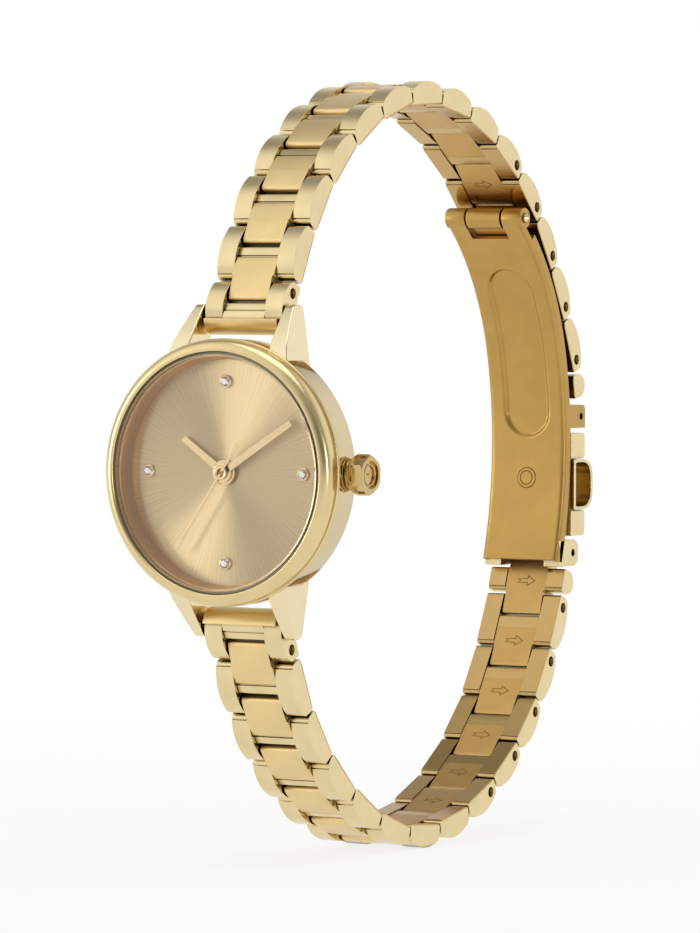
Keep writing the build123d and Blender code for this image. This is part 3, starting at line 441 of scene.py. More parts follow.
def turned(name, profile, closed=True, steps=TURN_STEPS):
    return mesh_of(name, lathe(profile, closed, steps))


def about_x(profile, closed=True, steps=64):
    """Turns (radius, place along X) points round the X axis."""
    bm = lathe(profile, closed, steps)
    bm.transform(ABOUT_X)
    return bm


def bore(radius, out, deep, place, steps=40):
    """Round cutter along X, from so far out of a place at +X to so deep in it."""
    bm = lathe([(0, -out), (radius, -out), (radius, deep), (0, deep)], False, steps)
    bm.transform(Matrix.Translation(place) @ BORE_TURN)
    return mesh_of("bore", bm)


def corner(centre_r, centre_h, radius, start, end, steps=6):
    """Points of a rounded corner in a profile, by angles in degrees."""
    angles = [radians(start + (end - start) * i / steps) for i in range(steps + 1)]
    return [(centre_r + radius * cos(a), centre_h + radius * sin(a)) for a in angles]


def mirrored(mesh, sides=(-1, 1, 1)):
    """Copy of a mesh flipped along the axes where sides is negative."""
    flipped = mesh.copy()
    flipped.transform(Matrix.Diagonal((*sides, 1)))
    if sides[0] * sides[1] * sides[2] < 0:
        flipped.flip_normals()
    return flipped


def flat_ends(mesh):
    """Keeps the faces across the dial's axis flat."""
    for polygon in mesh.polygons:
        polygon.use_smooth = abs(polygon.normal.y) < 0.95
    return mesh


def move(x, y, z):
    """Matrix of a move in millimetres."""
    return Matrix.Translation(Vector((x, y, z)) * MM)


def piece(name, mesh, material, body, place=None, replaced=()):
    """Adds a piece, in place, riding on its body."""
    if not mesh.materials:
        mesh.materials.append(material)
    made = placed(name, mesh)
    if place is not None:
        made.matrix_world = place
    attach(made, body)
    if replaced:
        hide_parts(*replaced)


def pair(name, mesh, material, body, place=None, replaced=()):
    """Adds a piece at +X and its mirror image at -X."""
    piece(name + "_a", mesh, material, body, place, replaced)
    piece(name + "_b", mirrored(mesh), material, body, place)


# Case: middle, lugs, bezel, crystal and the ring round the dial.
# Profiles are tables of (radius, height).

CASE_FRONT_H = 5.1
DIAL_TOP_H = 4.6
CRYSTAL_R = 10.67
CRYSTAL_LOW_H = 6.05
CRYSTAL_TOP_H = 6.95
CRYSTAL_CHAMFER = 0.14

MIDDLE_CASE = [
    (9.3, 0.62), *corner(10.75, 0.76, 0.15, -90, -40, 3), *corner(11.8, 2.35, 0.2, -35, 0, 4),
    *corner(11.8, 4.9, 0.2, 0, 90, 5), (10.86, CASE_FRONT_H), (10.86, 4.62), (9.3, 4.2),
]
BEZEL = [
    (10.88, CASE_FRONT_H), *corner(11.95, 5.23, 0.13, -90, 90, 6), (11.7, 5.38), (11.6, 5.5),
    (11.7, 5.64), *corner(11.9, 5.78, 0.1, -90, 0, 3), *corner(11.05, 6.05, 0.95, 0, 78, 14),
    *corner(11.1, 6.78, 0.22, 80, 180, 6), (10.88, 6.3),
]
CRYSTAL = [
    (0, CRYSTAL_LOW_H), *corner(CRYSTAL_R - 0.05, CRYSTAL_LOW_H + 0.05, 0.05, -90, 0, 3),
    (CRYSTAL_R, CRYSTAL_TOP_H - CRYSTAL_CHAMFER), (CRYSTAL_R - CRYSTAL_CHAMFER, CRYSTAL_TOP_H),
    (0, CRYSTAL_TOP_H),
]
REHAUT = [
    (10.17, DIAL_TOP_H + 0.02), (10.78, DIAL_TOP_H + 0.02), (10.78, CRYSTAL_LOW_H - 0.01),
    *corner(10.52, CRYSTAL_LOW_H - 0.07, 0.06, 90, 200, 4),
]

LUG_GAP = 8.6
LUG_ROOT_Z = 9.4
LUG_TIP_Z = 15.1
LUG_ROOT_X = 6.62
LUG_TIP_X = 5.25
# One horn's outline in Y and Z: front edge up to the tip, then the rear edge down.
LUG_OUTLINE = [
    (-5.0, LUG_ROOT_Z), (-4.95, 10.4), (-4.45, 11.6), (-3.7, 12.7), (-2.85, 13.8), (-2.1, 14.75),
    (-1.85, 15.0), (-1.6, LUG_TIP_Z), (-0.75, LUG_TIP_Z), (-0.4, 14.9), (-0.35, 14.5),
    (-1.2, LUG_ROOT_Z),
]


def lug_mesh():
    """One horn, pointing up at +X, with a flat front that falls to a thin tip."""
    inner = [(LUG_GAP / 2, y, z) for y, z in LUG_OUTLINE]
    outer = []
    for y, z in LUG_OUTLINE:
        share = (z - LUG_ROOT_Z) / (LUG_TIP_Z - LUG_ROOT_Z)
        outer.append((LUG_ROOT_X + (LUG_TIP_X - LUG_ROOT_X) * share, y, z))
    return baked("lug", between(inner, outer), 0.14, angle=40)


def build_case():
    middle = baked("case_middle", lathe(MIDDLE_CASE))
    piece("case_middle", middle, shaded_flank_polish, "case", replaced=["case_body"])
    horn = lug_mesh()
    for up, z in (("upper", 1), ("lower", -1)):
        for hand, x in (("right", 1), ("left", -1)):
            piece(f"lug_{up}_{hand}", mirrored(horn, (x, 1, z)), case_polish, "case")
    bezel = turned("bezel_ring", BEZEL, steps=FINE_STEPS)
    piece("bezel_ring", bezel, bezel_satin, "case", replaced=["bezel"])
    disc = flat_ends(turned("crystal_disc", CRYSTAL, False, FINE_STEPS))
    piece("crystal_disc", disc, crystal_glass, "case", replaced=["crystal"])
    ring = turned("rehaut_ring", REHAUT, steps=FINE_STEPS)
    piece("rehaut_ring", ring, rehaut, "case", replaced=["dial_ring"])


# Dial and stones. Heights of a stone, its setting and its beads start at the dial's face.

STONE_PLACE_R = 8.2
STONE_R = 0.46
STONE_LIFT = 0.06
BEAD_PLACE_R = 0.47
BEAD_LIFT = 0.2
BEAD_R = 0.085

# Levels of a stone: radius, height, number of corners and turn in shares of a corner's step.
STONE_LEVELS = [
    (0.27, 0.36, 8, 0.5), (0.37, 0.27, 8, 0.0), (STONE_R, 0.13, 16, 0.0), (STONE_R, 0.10, 16, 0.0),
]
SETTING = [
    (0.30, 0.02), *corner(0.50, 0.10, 0.1, -90, 90, 8), (0.47, 0.19), (0.46, 0.08), (0.30, 0.05),
]
BEAD = [(0.05, -0.08), (BEAD_R, 0.0), *corner(0.0, 0.0, BEAD_R, 15, 90, 5)]
DIAL = [
    (0.86, 4.22), (10.38, 4.22), (10.38, DIAL_TOP_H - 0.02), (10.36, DIAL_TOP_H),
    (0.88, DIAL_TOP_H), (0.86, DIAL_TOP_H - 0.02),
]


def stone_mesh():
    """Round brilliant: table, star and kite facets, girdle and a shallow back."""
    bm = bmesh.new()
    points = []
    for radius, height, count, shift in STONE_LEVELS:
        for i in range(count):
            angle = 2 * pi * (i + shift) / count
            points.append(bm.verts.new((radius * cos(angle), -height, radius * sin(angle))))
    points.append(bm.verts.new((0, 0, 0)))
    bmesh.ops.convex_hull(bm, input=points)
    return mesh_of("stone", bm, smooth=False)


def build_dial():
    plate = flat_ends(turned("dial_plate", DIAL, steps=FINE_STEPS))
    piece("dial_plate", plate, sunray, "case", replaced=["dial"])
    gem = stone_mesh()
    collar = turned("setting", SETTING, steps=48)
    bead = turned("bead", BEAD, False, 20)
    for hour, x, z in ((12, 0, 1), (3, 1, 0), (6, 0, -1), (9, -1, 0)):
        x, z = x * STONE_PLACE_R, z * STONE_PLACE_R
        nodes = (["stone_settings"], ["dial_stones"]) if hour == 12 else ((), ())
        at = move(x, -DIAL_TOP_H, z)
        piece(f"setting_{hour}", collar, case_polish, "case", at, nodes[0])
        at = move(x, -DIAL_TOP_H - STONE_LIFT, z)
        piece(f"stone_{hour}", gem, stone_glass, "case", at, nodes[1])
        for k in range(4):
            angle = pi / 4 + k * QUARTER
            out, up = BEAD_PLACE_R * cos(angle), BEAD_PLACE_R * sin(angle)
            spot = move(x + out, -DIAL_TOP_H - BEAD_LIFT, z + up)
            piece(f"bead_{hour}_{k}", bead, case_polish, "case", spot)


# Hands. A hand is drawn pointing to 12 and turned to its place.

HAND_ROOT_W = 0.72
HAND_TIP_W = 0.6
HAND_T = 0.15
HAND_BEVEL = 0.035
HAND_FOOT_DEEP = 0.3
BOSS_EDGE_R = 0.06
# Name, length, floor, angle in degrees, boss radius and radius of the tube under it.
HANDS = [
    ("hour_hand", 5.25, 4.92, -54.9, 1.15, 0.75),
    ("minute_hand", 8.6, 5.2, 57.6, 0.95, 0.5),
]
SECONDS_LONG = 8.6
SECONDS_LOW_H = 5.46
SECONDS_T = 0.1
SECONDS_BEVEL = 0.02
SECONDS_ANGLE = 214.0
SECONDS_TAIL = [(-0.1, 0), (-0.21, -3.1), (0.21, -3.1), (0.1, 0)]
SECONDS_RING = [
    (0.36, SECONDS_LOW_H), (0.62, SECONDS_LOW_H),
    *corner(0.57, SECONDS_LOW_H + 0.1, 0.08, 0, 90, 4), (0.44, SECONDS_LOW_H + 0.18),
    (0.36, SECONDS_LOW_H + 0.1),
]
SECONDS_CAP = [
    (0, SECONDS_LOW_H - 1.4), (0.22, SECONDS_LOW_H - 1.4), (0.22, SECONDS_LOW_H),
    (0.38, SECONDS_LOW_H), (0.38, SECONDS_LOW_H + 0.06),
    *corner(0.0, SECONDS_LOW_H - 0.02, 0.2, 25, 90, 6),
]


def hand_outline(length, root_w, tip_w):
    return [(-root_w / 2, 0), (-tip_w / 2, length), (tip_w / 2, length), (root_w / 2, 0)]


def flat_hand(name, outline, floor, thickness, bevel):
    """Flat solid from an outline in X and Z, from its floor up."""
    rings = ([(x, -h, z) for x, z in outline] for h in (floor, floor + thickness))
    return baked(name, between(*rings), bevel, 2, 30)


def boss(name, radius, foot_r, floor):
    """Round boss over a tube."""
    foot, top, edge = floor - HAND_FOOT_DEEP, floor + HAND_T, BOSS_EDGE_R
    profile = [(0, foot), (foot_r, foot), (foot_r, floor), (radius - edge / 2, floor)]
    profile += [(radius, floor + edge / 2), *corner(radius - edge, top - edge, edge, 0, 90, 4)]
    return turned(name, [*profile, (0, top)], False, 96)


def build_hands():
    for name, length, floor, angle, boss_r, foot_r in HANDS:
        turn = Matrix.Rotation(radians(angle), 4, "Y")
        outline = hand_outline(length, HAND_ROOT_W, HAND_TIP_W)
        blade = flat_hand(name + "_blade", outline, floor, HAND_T, HAND_BEVEL)
        piece(name + "_blade", blade, hand_gold, name, turn, [name])
        piece(name + "_boss", boss(name + "_boss", boss_r, foot_r, floor), hand_gold, name)
    body = "seconds_hand"
    turn = Matrix.Rotation(radians(SECONDS_ANGLE), 4, "Y")
    shape = SECONDS_LOW_H, SECONDS_T, SECONDS_BEVEL
    blade = flat_hand("seconds_blade", hand_outline(SECONDS_LONG, 0.2, 0.18), *shape)
    piece("seconds_blade", blade, hand_gold, body, turn, [body])
    piece("seconds_tail", flat_hand("seconds_tail", SECONDS_TAIL, *shape), hand_gold, body, turn)
    ring = turned("seconds_ring", SECONDS_RING, steps=96)
    piece("seconds_ring", ring, hand_gold, body)
    cap = turned("seconds_cap", SECONDS_CAP, False, 96)
    piece("seconds_cap", cap, shaded_cap_gold, body)


# Crown: a six-sided grip on a round flange, with a sunk window in each side and a ringed dish
# in its end. Places along it are measured from its inner face, out along X.

CROWN_H = 2.9
CROWN_START_X = 12.1
GRIP_START = 0.3
GRIP_END = 1.9
CROWN_AF = 3.2
CROWN_FLOOR = 1.6
DISH_R = 1.275
WINDOW_LONG = 0.95
WINDOW_WIDE = 1.28
WINDOW_EDGE_R = 0.25
WINDOW_DEEP = 0.14
TRIM_FROM_R, TRIM_TO_R, TRIM_OUT_R = 1.62, 1.92, 2.4
TRIM_CLEAR = 0.06
CUTTER_CLEAR = 0.4
TRIM_LONG = 0.3
FLANGE = [
    (1.26, 0.0), *corner(1.44, 0.06, 0.06, -90, 0, 3), *corner(1.44, 0.22, 0.06, 0, 60, 3),
    (1.4, 0.31), (1.26, 0.31),
]
RIM = [
    (0.84, CROWN_FLOOR), *corner(0.92, GRIP_END - 0.17, 0.08, 180, 0, 8), (1.0, CROWN_FLOOR),
]
CONE = [
    (0, CROWN_FLOOR + 0.24), (0.07, CROWN_FLOOR + 0.22), (0.3, CROWN_FLOOR + 0.02),
    (0.34, CROWN_FLOOR),
]


def window_cutter(turn):
    """Rounded block that sinks a window into one side of the crown."""
    radius = WINDOW_EDGE_R
    outline = []
    for x, y, start in ((1, 1, 0), (-1, 1, 90), (-1, -1, 180), (1, -1, 270)):
        centre_x, centre_y = x * (WINDOW_LONG / 2 - radius), y * (WINDOW_WIDE / 2 - radius)
        outline += corner(centre_x, centre_y, radius, start, start + 90, 4)
    middle = (GRIP_START + GRIP_END) / 2
    levels = (CROWN_AF / 2 - WINDOW_DEEP, CROWN_AF / 2 + CUTTER_CLEAR)
    bm = between(*([(middle + x, y, z) for x, y in outline] for z in levels))
    bm.transform(Matrix.Rotation(turn, 4, "X"))
    return mesh_of("window", bm)


def crown_grip():
    corner_r = CROWN_AF / 2 / cos(pi / 6)
    angles = [pi / 3 * i + QUARTER for i in range(6)]
    ends = GRIP_START, GRIP_END
    rings = [[(end, corner_r * cos(a), corner_r * sin(a)) for a in angles] for end in ends]
    cutters = [window_cutter(pi / 3 * i + pi / 6) for i in range(6)]
    for end, way in ((GRIP_START, 1), (GRIP_END, -1)):
        near, far = end - way * TRIM_CLEAR, end + way * TRIM_LONG
        trim = [(TRIM_FROM_R, near), (TRIM_TO_R, far), (TRIM_OUT_R, far), (TRIM_OUT_R, near)]
        cutters.append(mesh_of("trim", about_x(trim)))
    out = GRIP_END + TRIM_LONG
    dish = [(0, CROWN_FLOOR), (DISH_R, CROWN_FLOOR), (DISH_R, out), (0, out)]
    cutters.append(mesh_of("dish", about_x(dish, False)))
    return baked("crown_grip", between(*rings), 0.045, angle=25, cutters=cutters)


def build_crown():
    place = move(CROWN_START_X, -CROWN_H, 0)
    body = "crown_and_stem"
    piece("crown_grip", crown_grip(), shaded_crown_gold, body, place, ["crown"])
    for name, profile in ("flange", FLANGE), ("rim", RIM), ("cone", CONE):
        mesh = mesh_of("crown_" + name, about_x(profile, closed=name != "cone"))
        piece("crown_" + name, mesh, shaded_crown_gold, body, place)


# Bracelet. A link is drawn with its case-side hinge at the origin, its far end up Z and its
# outer face towards -Y.

LINK_PITCH = 5.65
HALF_W = 4.1
HALF_CENTRE = 2.25
HALF_MIDDLE = HALF_CENTRE - 0.02
HALF_TONGUE = 2.1
BLOCK_START = 1.32
PIN_TO_END = 1.02
BLOCK_FAR = LINK_PITCH + PIN_TO_END
BLOCK_IN, BLOCK_EDGE, BLOCK_CROWN = 1.0, 0.5, 1.25
PANEL_IN, PANEL_EDGE, PANEL_CROWN = 0.9, 0.72, 1.02
BLOCK_ROUND, PANEL_ROUND, STRIP_ROUND = 0.36, 0.28, 0.26
BLOCK_BEVEL, PANEL_BEVEL, STRIP_BEVEL = 0.09, 0.12, 0.04
TONGUE_REACH = 0.95
CENTRE_END = 4.38
STRIP_START = CENTRE_END - 1.03
STRIP_RISE = 0.06
WIDTH_STEP = 0.0005
# Steps at the near end of a block: place along it and inset.
BLOCK_STEPS = [
    (0.0, BLOCK_ROUND), (0.05, 0.2), (0.13, 0.11), (0.27, 0.07), (0.29, 0.12), (0.34, 0.12),
    (0.36, 0.0),
]
PIN_R = 0.45
PIN_ROUND = 0.1
PIN_BORE_R, PIN_BORE_DEEP = 0.5, 0.75
BAR_BORE_R, BAR_BORE_DEEP = 0.56, 3.0
HIDDEN_PIN, SUNK_PIN, STUB_START = 3.3, 3.75, 2.55
ARROW = [
    (-0.95, -0.2), (0.15, -0.2), (0.15, -0.5), (0.95, 0.0), (0.15, 0.5), (0.15, 0.2),
    (-0.95, 0.2), (-0.62, 0.0),
]
ARROW_LINE = 0.055
ARROW_LOW_Y = PANEL_IN - 0.03
ARROW_HIGH_Y = PANEL_IN + 0.008
ARROW_ALONG = 1.7
HALF_ARROW_ALONG = 2.4


def arch(z, z0, z1, edge, crown):
    """Outward rise of an arched face."""
    share = (2 * z - z0 - z1) / (z1 - z0)
    return edge + (crown - edge) * (1 - share * share)


def rounded_stations(z0, z1, radius):
    """Places along a piece with the inset that its rounded ends have there."""
    angles = [QUARTER * i / 5 for i in range(6)]
    ends = [(radius * (1 - cos(a)), radius * (1 - sin(a))) for a in angles]
    middle = [(z0 + radius + (z1 - z0 - 2 * radius) * i / 10, 0.0) for i in range(1, 10)]
    low = [(z0 + along, inset) for along, inset in ends]
    high = [(z1 - along, inset) for along, inset in reversed(ends)]
    return low + middle + high


def block_mesh(name, z0, z1, drilled_at=None, bar_at=None):
    """Polished outer block at +X, with its pin hole where it is drilled."""
    stations = [(z0 + along, inset) for along, inset in BLOCK_STEPS]
    rounded = rounded_stations(z0, z1, BLOCK_ROUND)
    stations += [station for station in rounded if station[0] > z0 + BLOCK_STEPS[-1][0] + 0.04]
    sections = []
    for z, inset in stations:
        outer = inset - arch(z, z0, z1, BLOCK_EDGE, BLOCK_CROWN)
        sections.append((z, HALF_CENTRE, HALF_W, outer, BLOCK_IN - inset * 0.8))
    cutters = []
    if drilled_at is not None:
        cutters.append(bore(PIN_BORE_R, 1.0, PIN_BORE_DEEP, (HALF_W, 0, drilled_at)))
    if bar_at is not None:
        cutters.append(bore(BAR_BORE_R, BAR_BORE_DEEP, BAR_BORE_DEEP, (HALF_W, 0, bar_at)))
    return baked(name, loft(sections), BLOCK_BEVEL, cutters=cutters)


def panel_mesh(name, z0, z1, wide_from, wide_to):
    """Middle of a link: narrow tongue, wider panel."""
    stations = rounded_stations(z0, z1, PANEL_ROUND)
    for cut in (wide_from, wide_to):
        if z0 < cut < z1:
            stations += [(cut - WIDTH_STEP, 0.0), (cut + WIDTH_STEP, 0.0)]
    sections = []
    for z, inset in sorted(stations):
        half = HALF_MIDDLE if wide_from < z < wide_to else HALF_TONGUE
        outer = inset - arch(z, z0, z1 + 1.0, PANEL_EDGE, PANEL_CROWN)
        sections.append((z, -half, half, outer, PANEL_IN - inset * 0.7))
    return baked(name, loft(sections), PANEL_BEVEL, 4)


def strip_mesh():
    """Polished step at the far end of the middle, with a thin groove at its foot."""
    top = -PANEL_EDGE - STRIP_RISE
    low, start, far = top + 0.1, STRIP_START, CENTRE_END - STRIP_ROUND
    spots = [(start - 0.3, low), (start, low), (start + 0.1, low), (start + 0.14, top), (far, top)]
    sections = [(z, -HALF_MIDDLE, HALF_MIDDLE, outer, PANEL_IN) for z, outer in spots]
    for i in range(1, 6):
        angle = QUARTER * i / 5
        z, fall = far + STRIP_ROUND * sin(angle), 1 - cos(angle)
        faces = top + STRIP_ROUND * fall, PANEL_IN - 0.2 * fall
        sections.append((z, -HALF_MIDDLE, HALF_MIDDLE, *faces))
    return baked("link_strip", loft(sections), STRIP_BEVEL)


def pin_mesh(name, x0, x1):
    low = corner(PIN_R - PIN_ROUND, x0 + PIN_ROUND, PIN_ROUND, -90, 0, 4)
    high = corner(PIN_R - PIN_ROUND, x1 - PIN_ROUND, PIN_ROUND, 0, 90, 4)
    return mesh_of(name, about_x([(0, x0), *low, *high, (0, x1)], False, 32))


def arrow_mesh():
    """Engraved outline of an arrow that points to +X, lying just on the inner face."""
    rings = []
    for side, y in (1, ARROW_HIGH_Y), (-1, ARROW_HIGH_Y), (-1, ARROW_LOW_Y), (1, ARROW_LOW_Y):
        ring = []
        for i, point in enumerate(ARROW):
            here = Vector(point)
            before = (here - Vector(ARROW[i - 1])).normalized()
            after = (Vector(ARROW[(i + 1) % len(ARROW)]) - here).normalized()
            normal = Vector((before.y + after.y, -before.x - after.x))
            push = ARROW_LINE / max(0.35, normal.length_squared / 2) if normal.length else 0
            spot = here + normal * push * side
            ring.append((spot.x, y, spot.y))
        rings.append(ring)
    return mesh_of("arrow", loop_of(rings), smooth=False)


def joint_place(name):
    """Y and Z of a joint in millimetres."""
    y, z = JOINTS[name]["pos_m"][1:]
    return Vector((0, y, z)) / MM


def link_place(start, end, side):
    """Matrix that puts a link's own frame on its two hinges."""
    up = (end - start).normalized()
    across = Vector((side, 0, 0))
    turn = Matrix((across, up.cross(across), up)).transposed().to_4x4()
    return Matrix.Translation(start * MM) @ turn


def meeting(a, b):
    """Hinge at one link's pitch from both a and b."""
    rise = sqrt(LINK_PITCH * LINK_PITCH - (b - a).length_squared / 4)
    along = (b - a).normalized()
    return (a + b) / 2 + Vector((0, along.z, -along.y)) * rise


block = block_mesh("link_block", BLOCK_START, BLOCK_FAR)
plain_blocks = block, mirrored(block)
block = block_mesh("drilled_block", BLOCK_START, BLOCK_FAR, LINK_PITCH)
drilled = block, mirrored(block)
panel = panel_mesh("link_panel", -TONGUE_REACH, STRIP_START, BLOCK_START, CENTRE_END)
strip = strip_mesh()
short_pin = pin_mesh("hidden_pin", -HIDDEN_PIN, HIDDEN_PIN)
long_pin = pin_mesh("sunk_pin", -SUNK_PIN, SUNK_PIN)
stub_pin = pin_mesh("stub_pin", STUB_START, SUNK_PIN)
arrow = arrow_mesh()


def build_link(name, place, is_drilled, stub, with_arrow):
    right, left = drilled if is_drilled else plain_blocks
    piece(name + "_block_a", right, block_gold, name, place, [name])
    piece(name + "_block_b", left, block_gold, name, place)
    piece(name + "_panel", panel, panel_gold, name, place)
    piece(name + "_strip", strip, block_gold, name, place)
    lift = place @ move(0, 0, LINK_PITCH)
    if stub:
        pair(name + "_pin", stub_pin, shaded_pin_metal, name, lift)
    else:
        pin = long_pin if is_drilled else short_pin
        piece(name + "_pin", pin, shaded_pin_metal, name, lift)
    if with_arrow:
        build_arrow(name, place, ARROW_ALONG)


def build_arrow(name, place, along):
    """Arrow on the inner face, pointing to +X whatever way the link's frame runs."""
    turn = Matrix.Rotation(0 if place.col[0].x > 0 else pi, 4, "Y")
    at = place @ move(0, 0, along) @ turn
    piece(name + "_arrow", arrow, engraving_and_shade, name, at)


def build_chain(side_name, side, count, drilled_from, last, arrows):
    names = [f"{side_name}_link_{i + 1:02d}" for i in range(count)]
    hinges = [joint_place(name + "_bend") for name in names] + [last]
    for number, name in enumerate(names, 1):
        place = link_place(hinges[number - 1], hinges[number], side)
        stub = side < 0 and number == count
        build_link(name, place, number >= drilled_from, stub, number in arrows)


HALF_START = 1.45
HALF_FAR = HALF_START + 2.3


def build_half_link(name, start, end, side, has_arrow):
    place = link_place(start, end, side)
    mesh = block_mesh(name + "_block", HALF_START, HALF_FAR)
    pair(name + "_block", mesh, block_gold, name, place, [name])
    ends = -TONGUE_REACH, LINK_PITCH + TONGUE_REACH
    mesh = panel_mesh(name + "_panel", *ends, HALF_START, HALF_FAR)
    piece(name + "_panel", mesh, panel_gold, name, place)
    if has_arrow:
        build_arrow(name, place, HALF_ARROW_ALONG)


END_MIDDLE_CLEAR = 0.32
SKIRT_R = 1.8
SKIRT_HALF = 3.9
SKIRT_BEVEL = 0.08


def build_end_link(side_name, side):
    name = side_name + "_end_link"
    start = joint_place(name + "_swing")
    end = joint_place(side_name + "_link_01_bend")
    long = (end - start).length
    place = link_place(start, end, side)
    mesh = block_mesh(name + "_block", -PIN_TO_END, long + PIN_TO_END, long, 0.0)
    pair(name + "_block", mesh, link_polish, name, place, [name])
    mesh = end_middle(name + "_middle", -PIN_TO_END, long - TONGUE_REACH - END_MIDDLE_CLEAR)
    piece(name + "_middle", mesh, link_polish, name, place)
    piece(name + "_skirt", skirt_mesh(name + "_skirt"), brush, name, place)
    lift = place @ move(0, 0, long)
    piece(name + "_pin", long_pin, shaded_pin_metal, name, lift)


def skirt_mesh(name):
    """Part of an end link that curves down towards the case."""
    angles = [radians(-60 + 10 * i) for i in range(13)]
    outline = [(SKIRT_R * sin(a) * 0.9, -SKIRT_R * cos(a)) for a in angles]
    outline += [(0.7, -0.6), (-0.7, -0.6)]
    return baked(name, prism(outline, -SKIRT_HALF, SKIRT_HALF), SKIRT_BEVEL)


def end_middle(name, z0, z1):
    """Stepped middle of an end link: two polished steps with a groove between them."""
    step = z0 + (z1 - z0) * 0.55
    spots = [(z0, 0.45), (z0 + 0.12, 0.78), (z0 + 0.3, 0.86), (step, 0.9), (step + 0.03, 0.76)]
    spots += [(step + 0.12, 0.76), (step + 0.16, 0.84)]
    spots += [(z1 - 0.2, 0.84), (z1 - 0.06, 0.78), (z1, 0.6)]
    sections = []
    for z, rise in spots:
        inner = 0.85 if z0 + 0.1 < z < z1 - 0.05 else 0.55
        sections.append((z, -HALF_MIDDLE, HALF_MIDDLE, -rise, inner))
    return baked(name, loft(sections), STRIP_BEVEL)


def build_bracelet():
    upper_last = joint_place("upper_half_link_bend")
    lower_bar = joint_place("lower_half_link_bend")
    lower_last = meeting(joint_place("lower_link_12_bend"), lower_bar)
    build_end_link("upper", 1)
    build_end_link("lower", -1)
    build_chain("upper", 1, 13, 9, upper_last, (10,))
    build_chain("lower", -1, 12, 8, lower_last, (8, 9, 10, 11, 12))
    build_half_link("upper_half_link", upper_last, joint_place("clasp_lift"), 1, False)
    build_half_link("lower_half_link", lower_last, lower_bar, -1, True)


# Clasp. A place on the blade has a turn in degrees on two arcs, and a rise outward.

BLADE_LOW_R = 38.0
BLADE_TOP_R = 23.5
BLADE_FAR_Y = 50.4
BLADE_FAR_Z = 1.2
BLADE_JOIN = 13.5
BLADE_TOP = 50.0
BLADE_FOOT = -17.0
BLADE_STEPS = 300
BLADE_HALF = 4.2
BLADE_BEND = 0.45
BLADE_T = 0.4
BLADE_BEVEL = 0.06
FLANGE_H = 1.15
FLANGE_TOP = 44.0
WINDOW_HALF = 2.05
WINDOW_REACH = 2.1
WINDOW_FROM = 40
RECESS_HALF = 2.35
RECESS_TOP_Z = 18.3
RECESS_LOW_Z = 2.1
RECESS_DEEP = 0.26
RECESS_WALL = 0.24
HINGE_RISE = 1.0
HINGE_PIN_R = 0.4
HINGE_PIN = [
    (0, -4.6), (0.15, -4.6), (HINGE_PIN_R, -4.35), (HINGE_PIN_R, 4.35), (0.15, 4.6), (0, 4.6),
]
KNUCKLE = [
    (HINGE_PIN_R, WINDOW_HALF), *corner(0.94, WINDOW_HALF + 0.06, 0.06, -90, 0, 3),
    *corner(0.94, BLADE_HALF - 0.06, 0.06, 0, 90, 3), (HINGE_PIN_R, BLADE_HALF),
]
EAR_HALF, EAR_RISE, EAR_ROUND, EAR_BEVEL = 1.3, 1.0, 0.85, 0.09
EAR_INNER_X = 2.4
EAR_FOOT_RISE = 0.15
EAR_BORE_R = 0.36
EAR_BORE_LONG = 6.0
STUD_Z = -2.0
# A rivet head: a flat face with a groove in it, just proud of the blade.
STUD = [
    (0, 0.07), (0.6, 0.07), (0.62, 0.02), (0.7, 0.02), (0.72, 0.07), (0.92, 0.07), (0.97, 0.01),
    (0.97, -0.2), (0, -0.2),
]
# Painted shade: thin dark rings laid in the rivet head's groove and round its edge, where shade
# falls.
STUD_SHADE_RINGS = [("stud_shade_ring_a", 0.6, 0.72, 0.035), ("stud_shade_ring_b", 0.95, 1.05, 0.015)]


def on_blade(turn, rise):
    """Y and Z of a place on the inner blade."""
    y, z, radius = BLADE_FAR_Y - BLADE_LOW_R, BLADE_FAR_Z, BLADE_LOW_R
    if turn > BLADE_JOIN:
        join = radians(BLADE_JOIN)
        y += (BLADE_LOW_R - BLADE_TOP_R) * cos(join)
        z += (BLADE_LOW_R - BLADE_TOP_R) * sin(join)
        radius = BLADE_TOP_R
    angle = radians(turn)
    return y + (radius + rise) * cos(angle), z + (radius + rise) * sin(angle)


def recess_depth(x, z):
    """Depth of the pressed recess, with soft walls."""
    centre = min(max(z, RECESS_LOW_Z + RECESS_HALF), RECESS_TOP_Z - RECESS_HALF)
    inside = RECESS_HALF - hypot(x, z - centre)
    share = min(1.0, max(0.0, inside / RECESS_WALL + 0.5))
    return RECESS_DEEP * share * share * (3 - 2 * share)


def blade_section():
    """Across the inner blade, from one flange over the face to the other: (x, rise)."""
    side = [(-BLADE_HALF, FLANGE_H), (-BLADE_HALF, 0.85), (-BLADE_HALF, 0.6)]
    for i in range(7):
        angle = QUARTER * i / 6
        x = -BLADE_HALF + BLADE_BEND * (1 - cos(angle))
        side.append((x, BLADE_BEND * (1 - sin(angle))))
    start = -BLADE_HALF + BLADE_BEND
    left = [start + (-start - WINDOW_HALF) * i / 10 for i in range(1, 10)]
    half = side + [(x, 0.0) for x in left]
    inner = [(-WINDOW_HALF + 2 * WINDOW_HALF * i / 48, 0.0) for i in range(49)]
    return half + inner + [(-x, rise) for x, rise in reversed(half)]


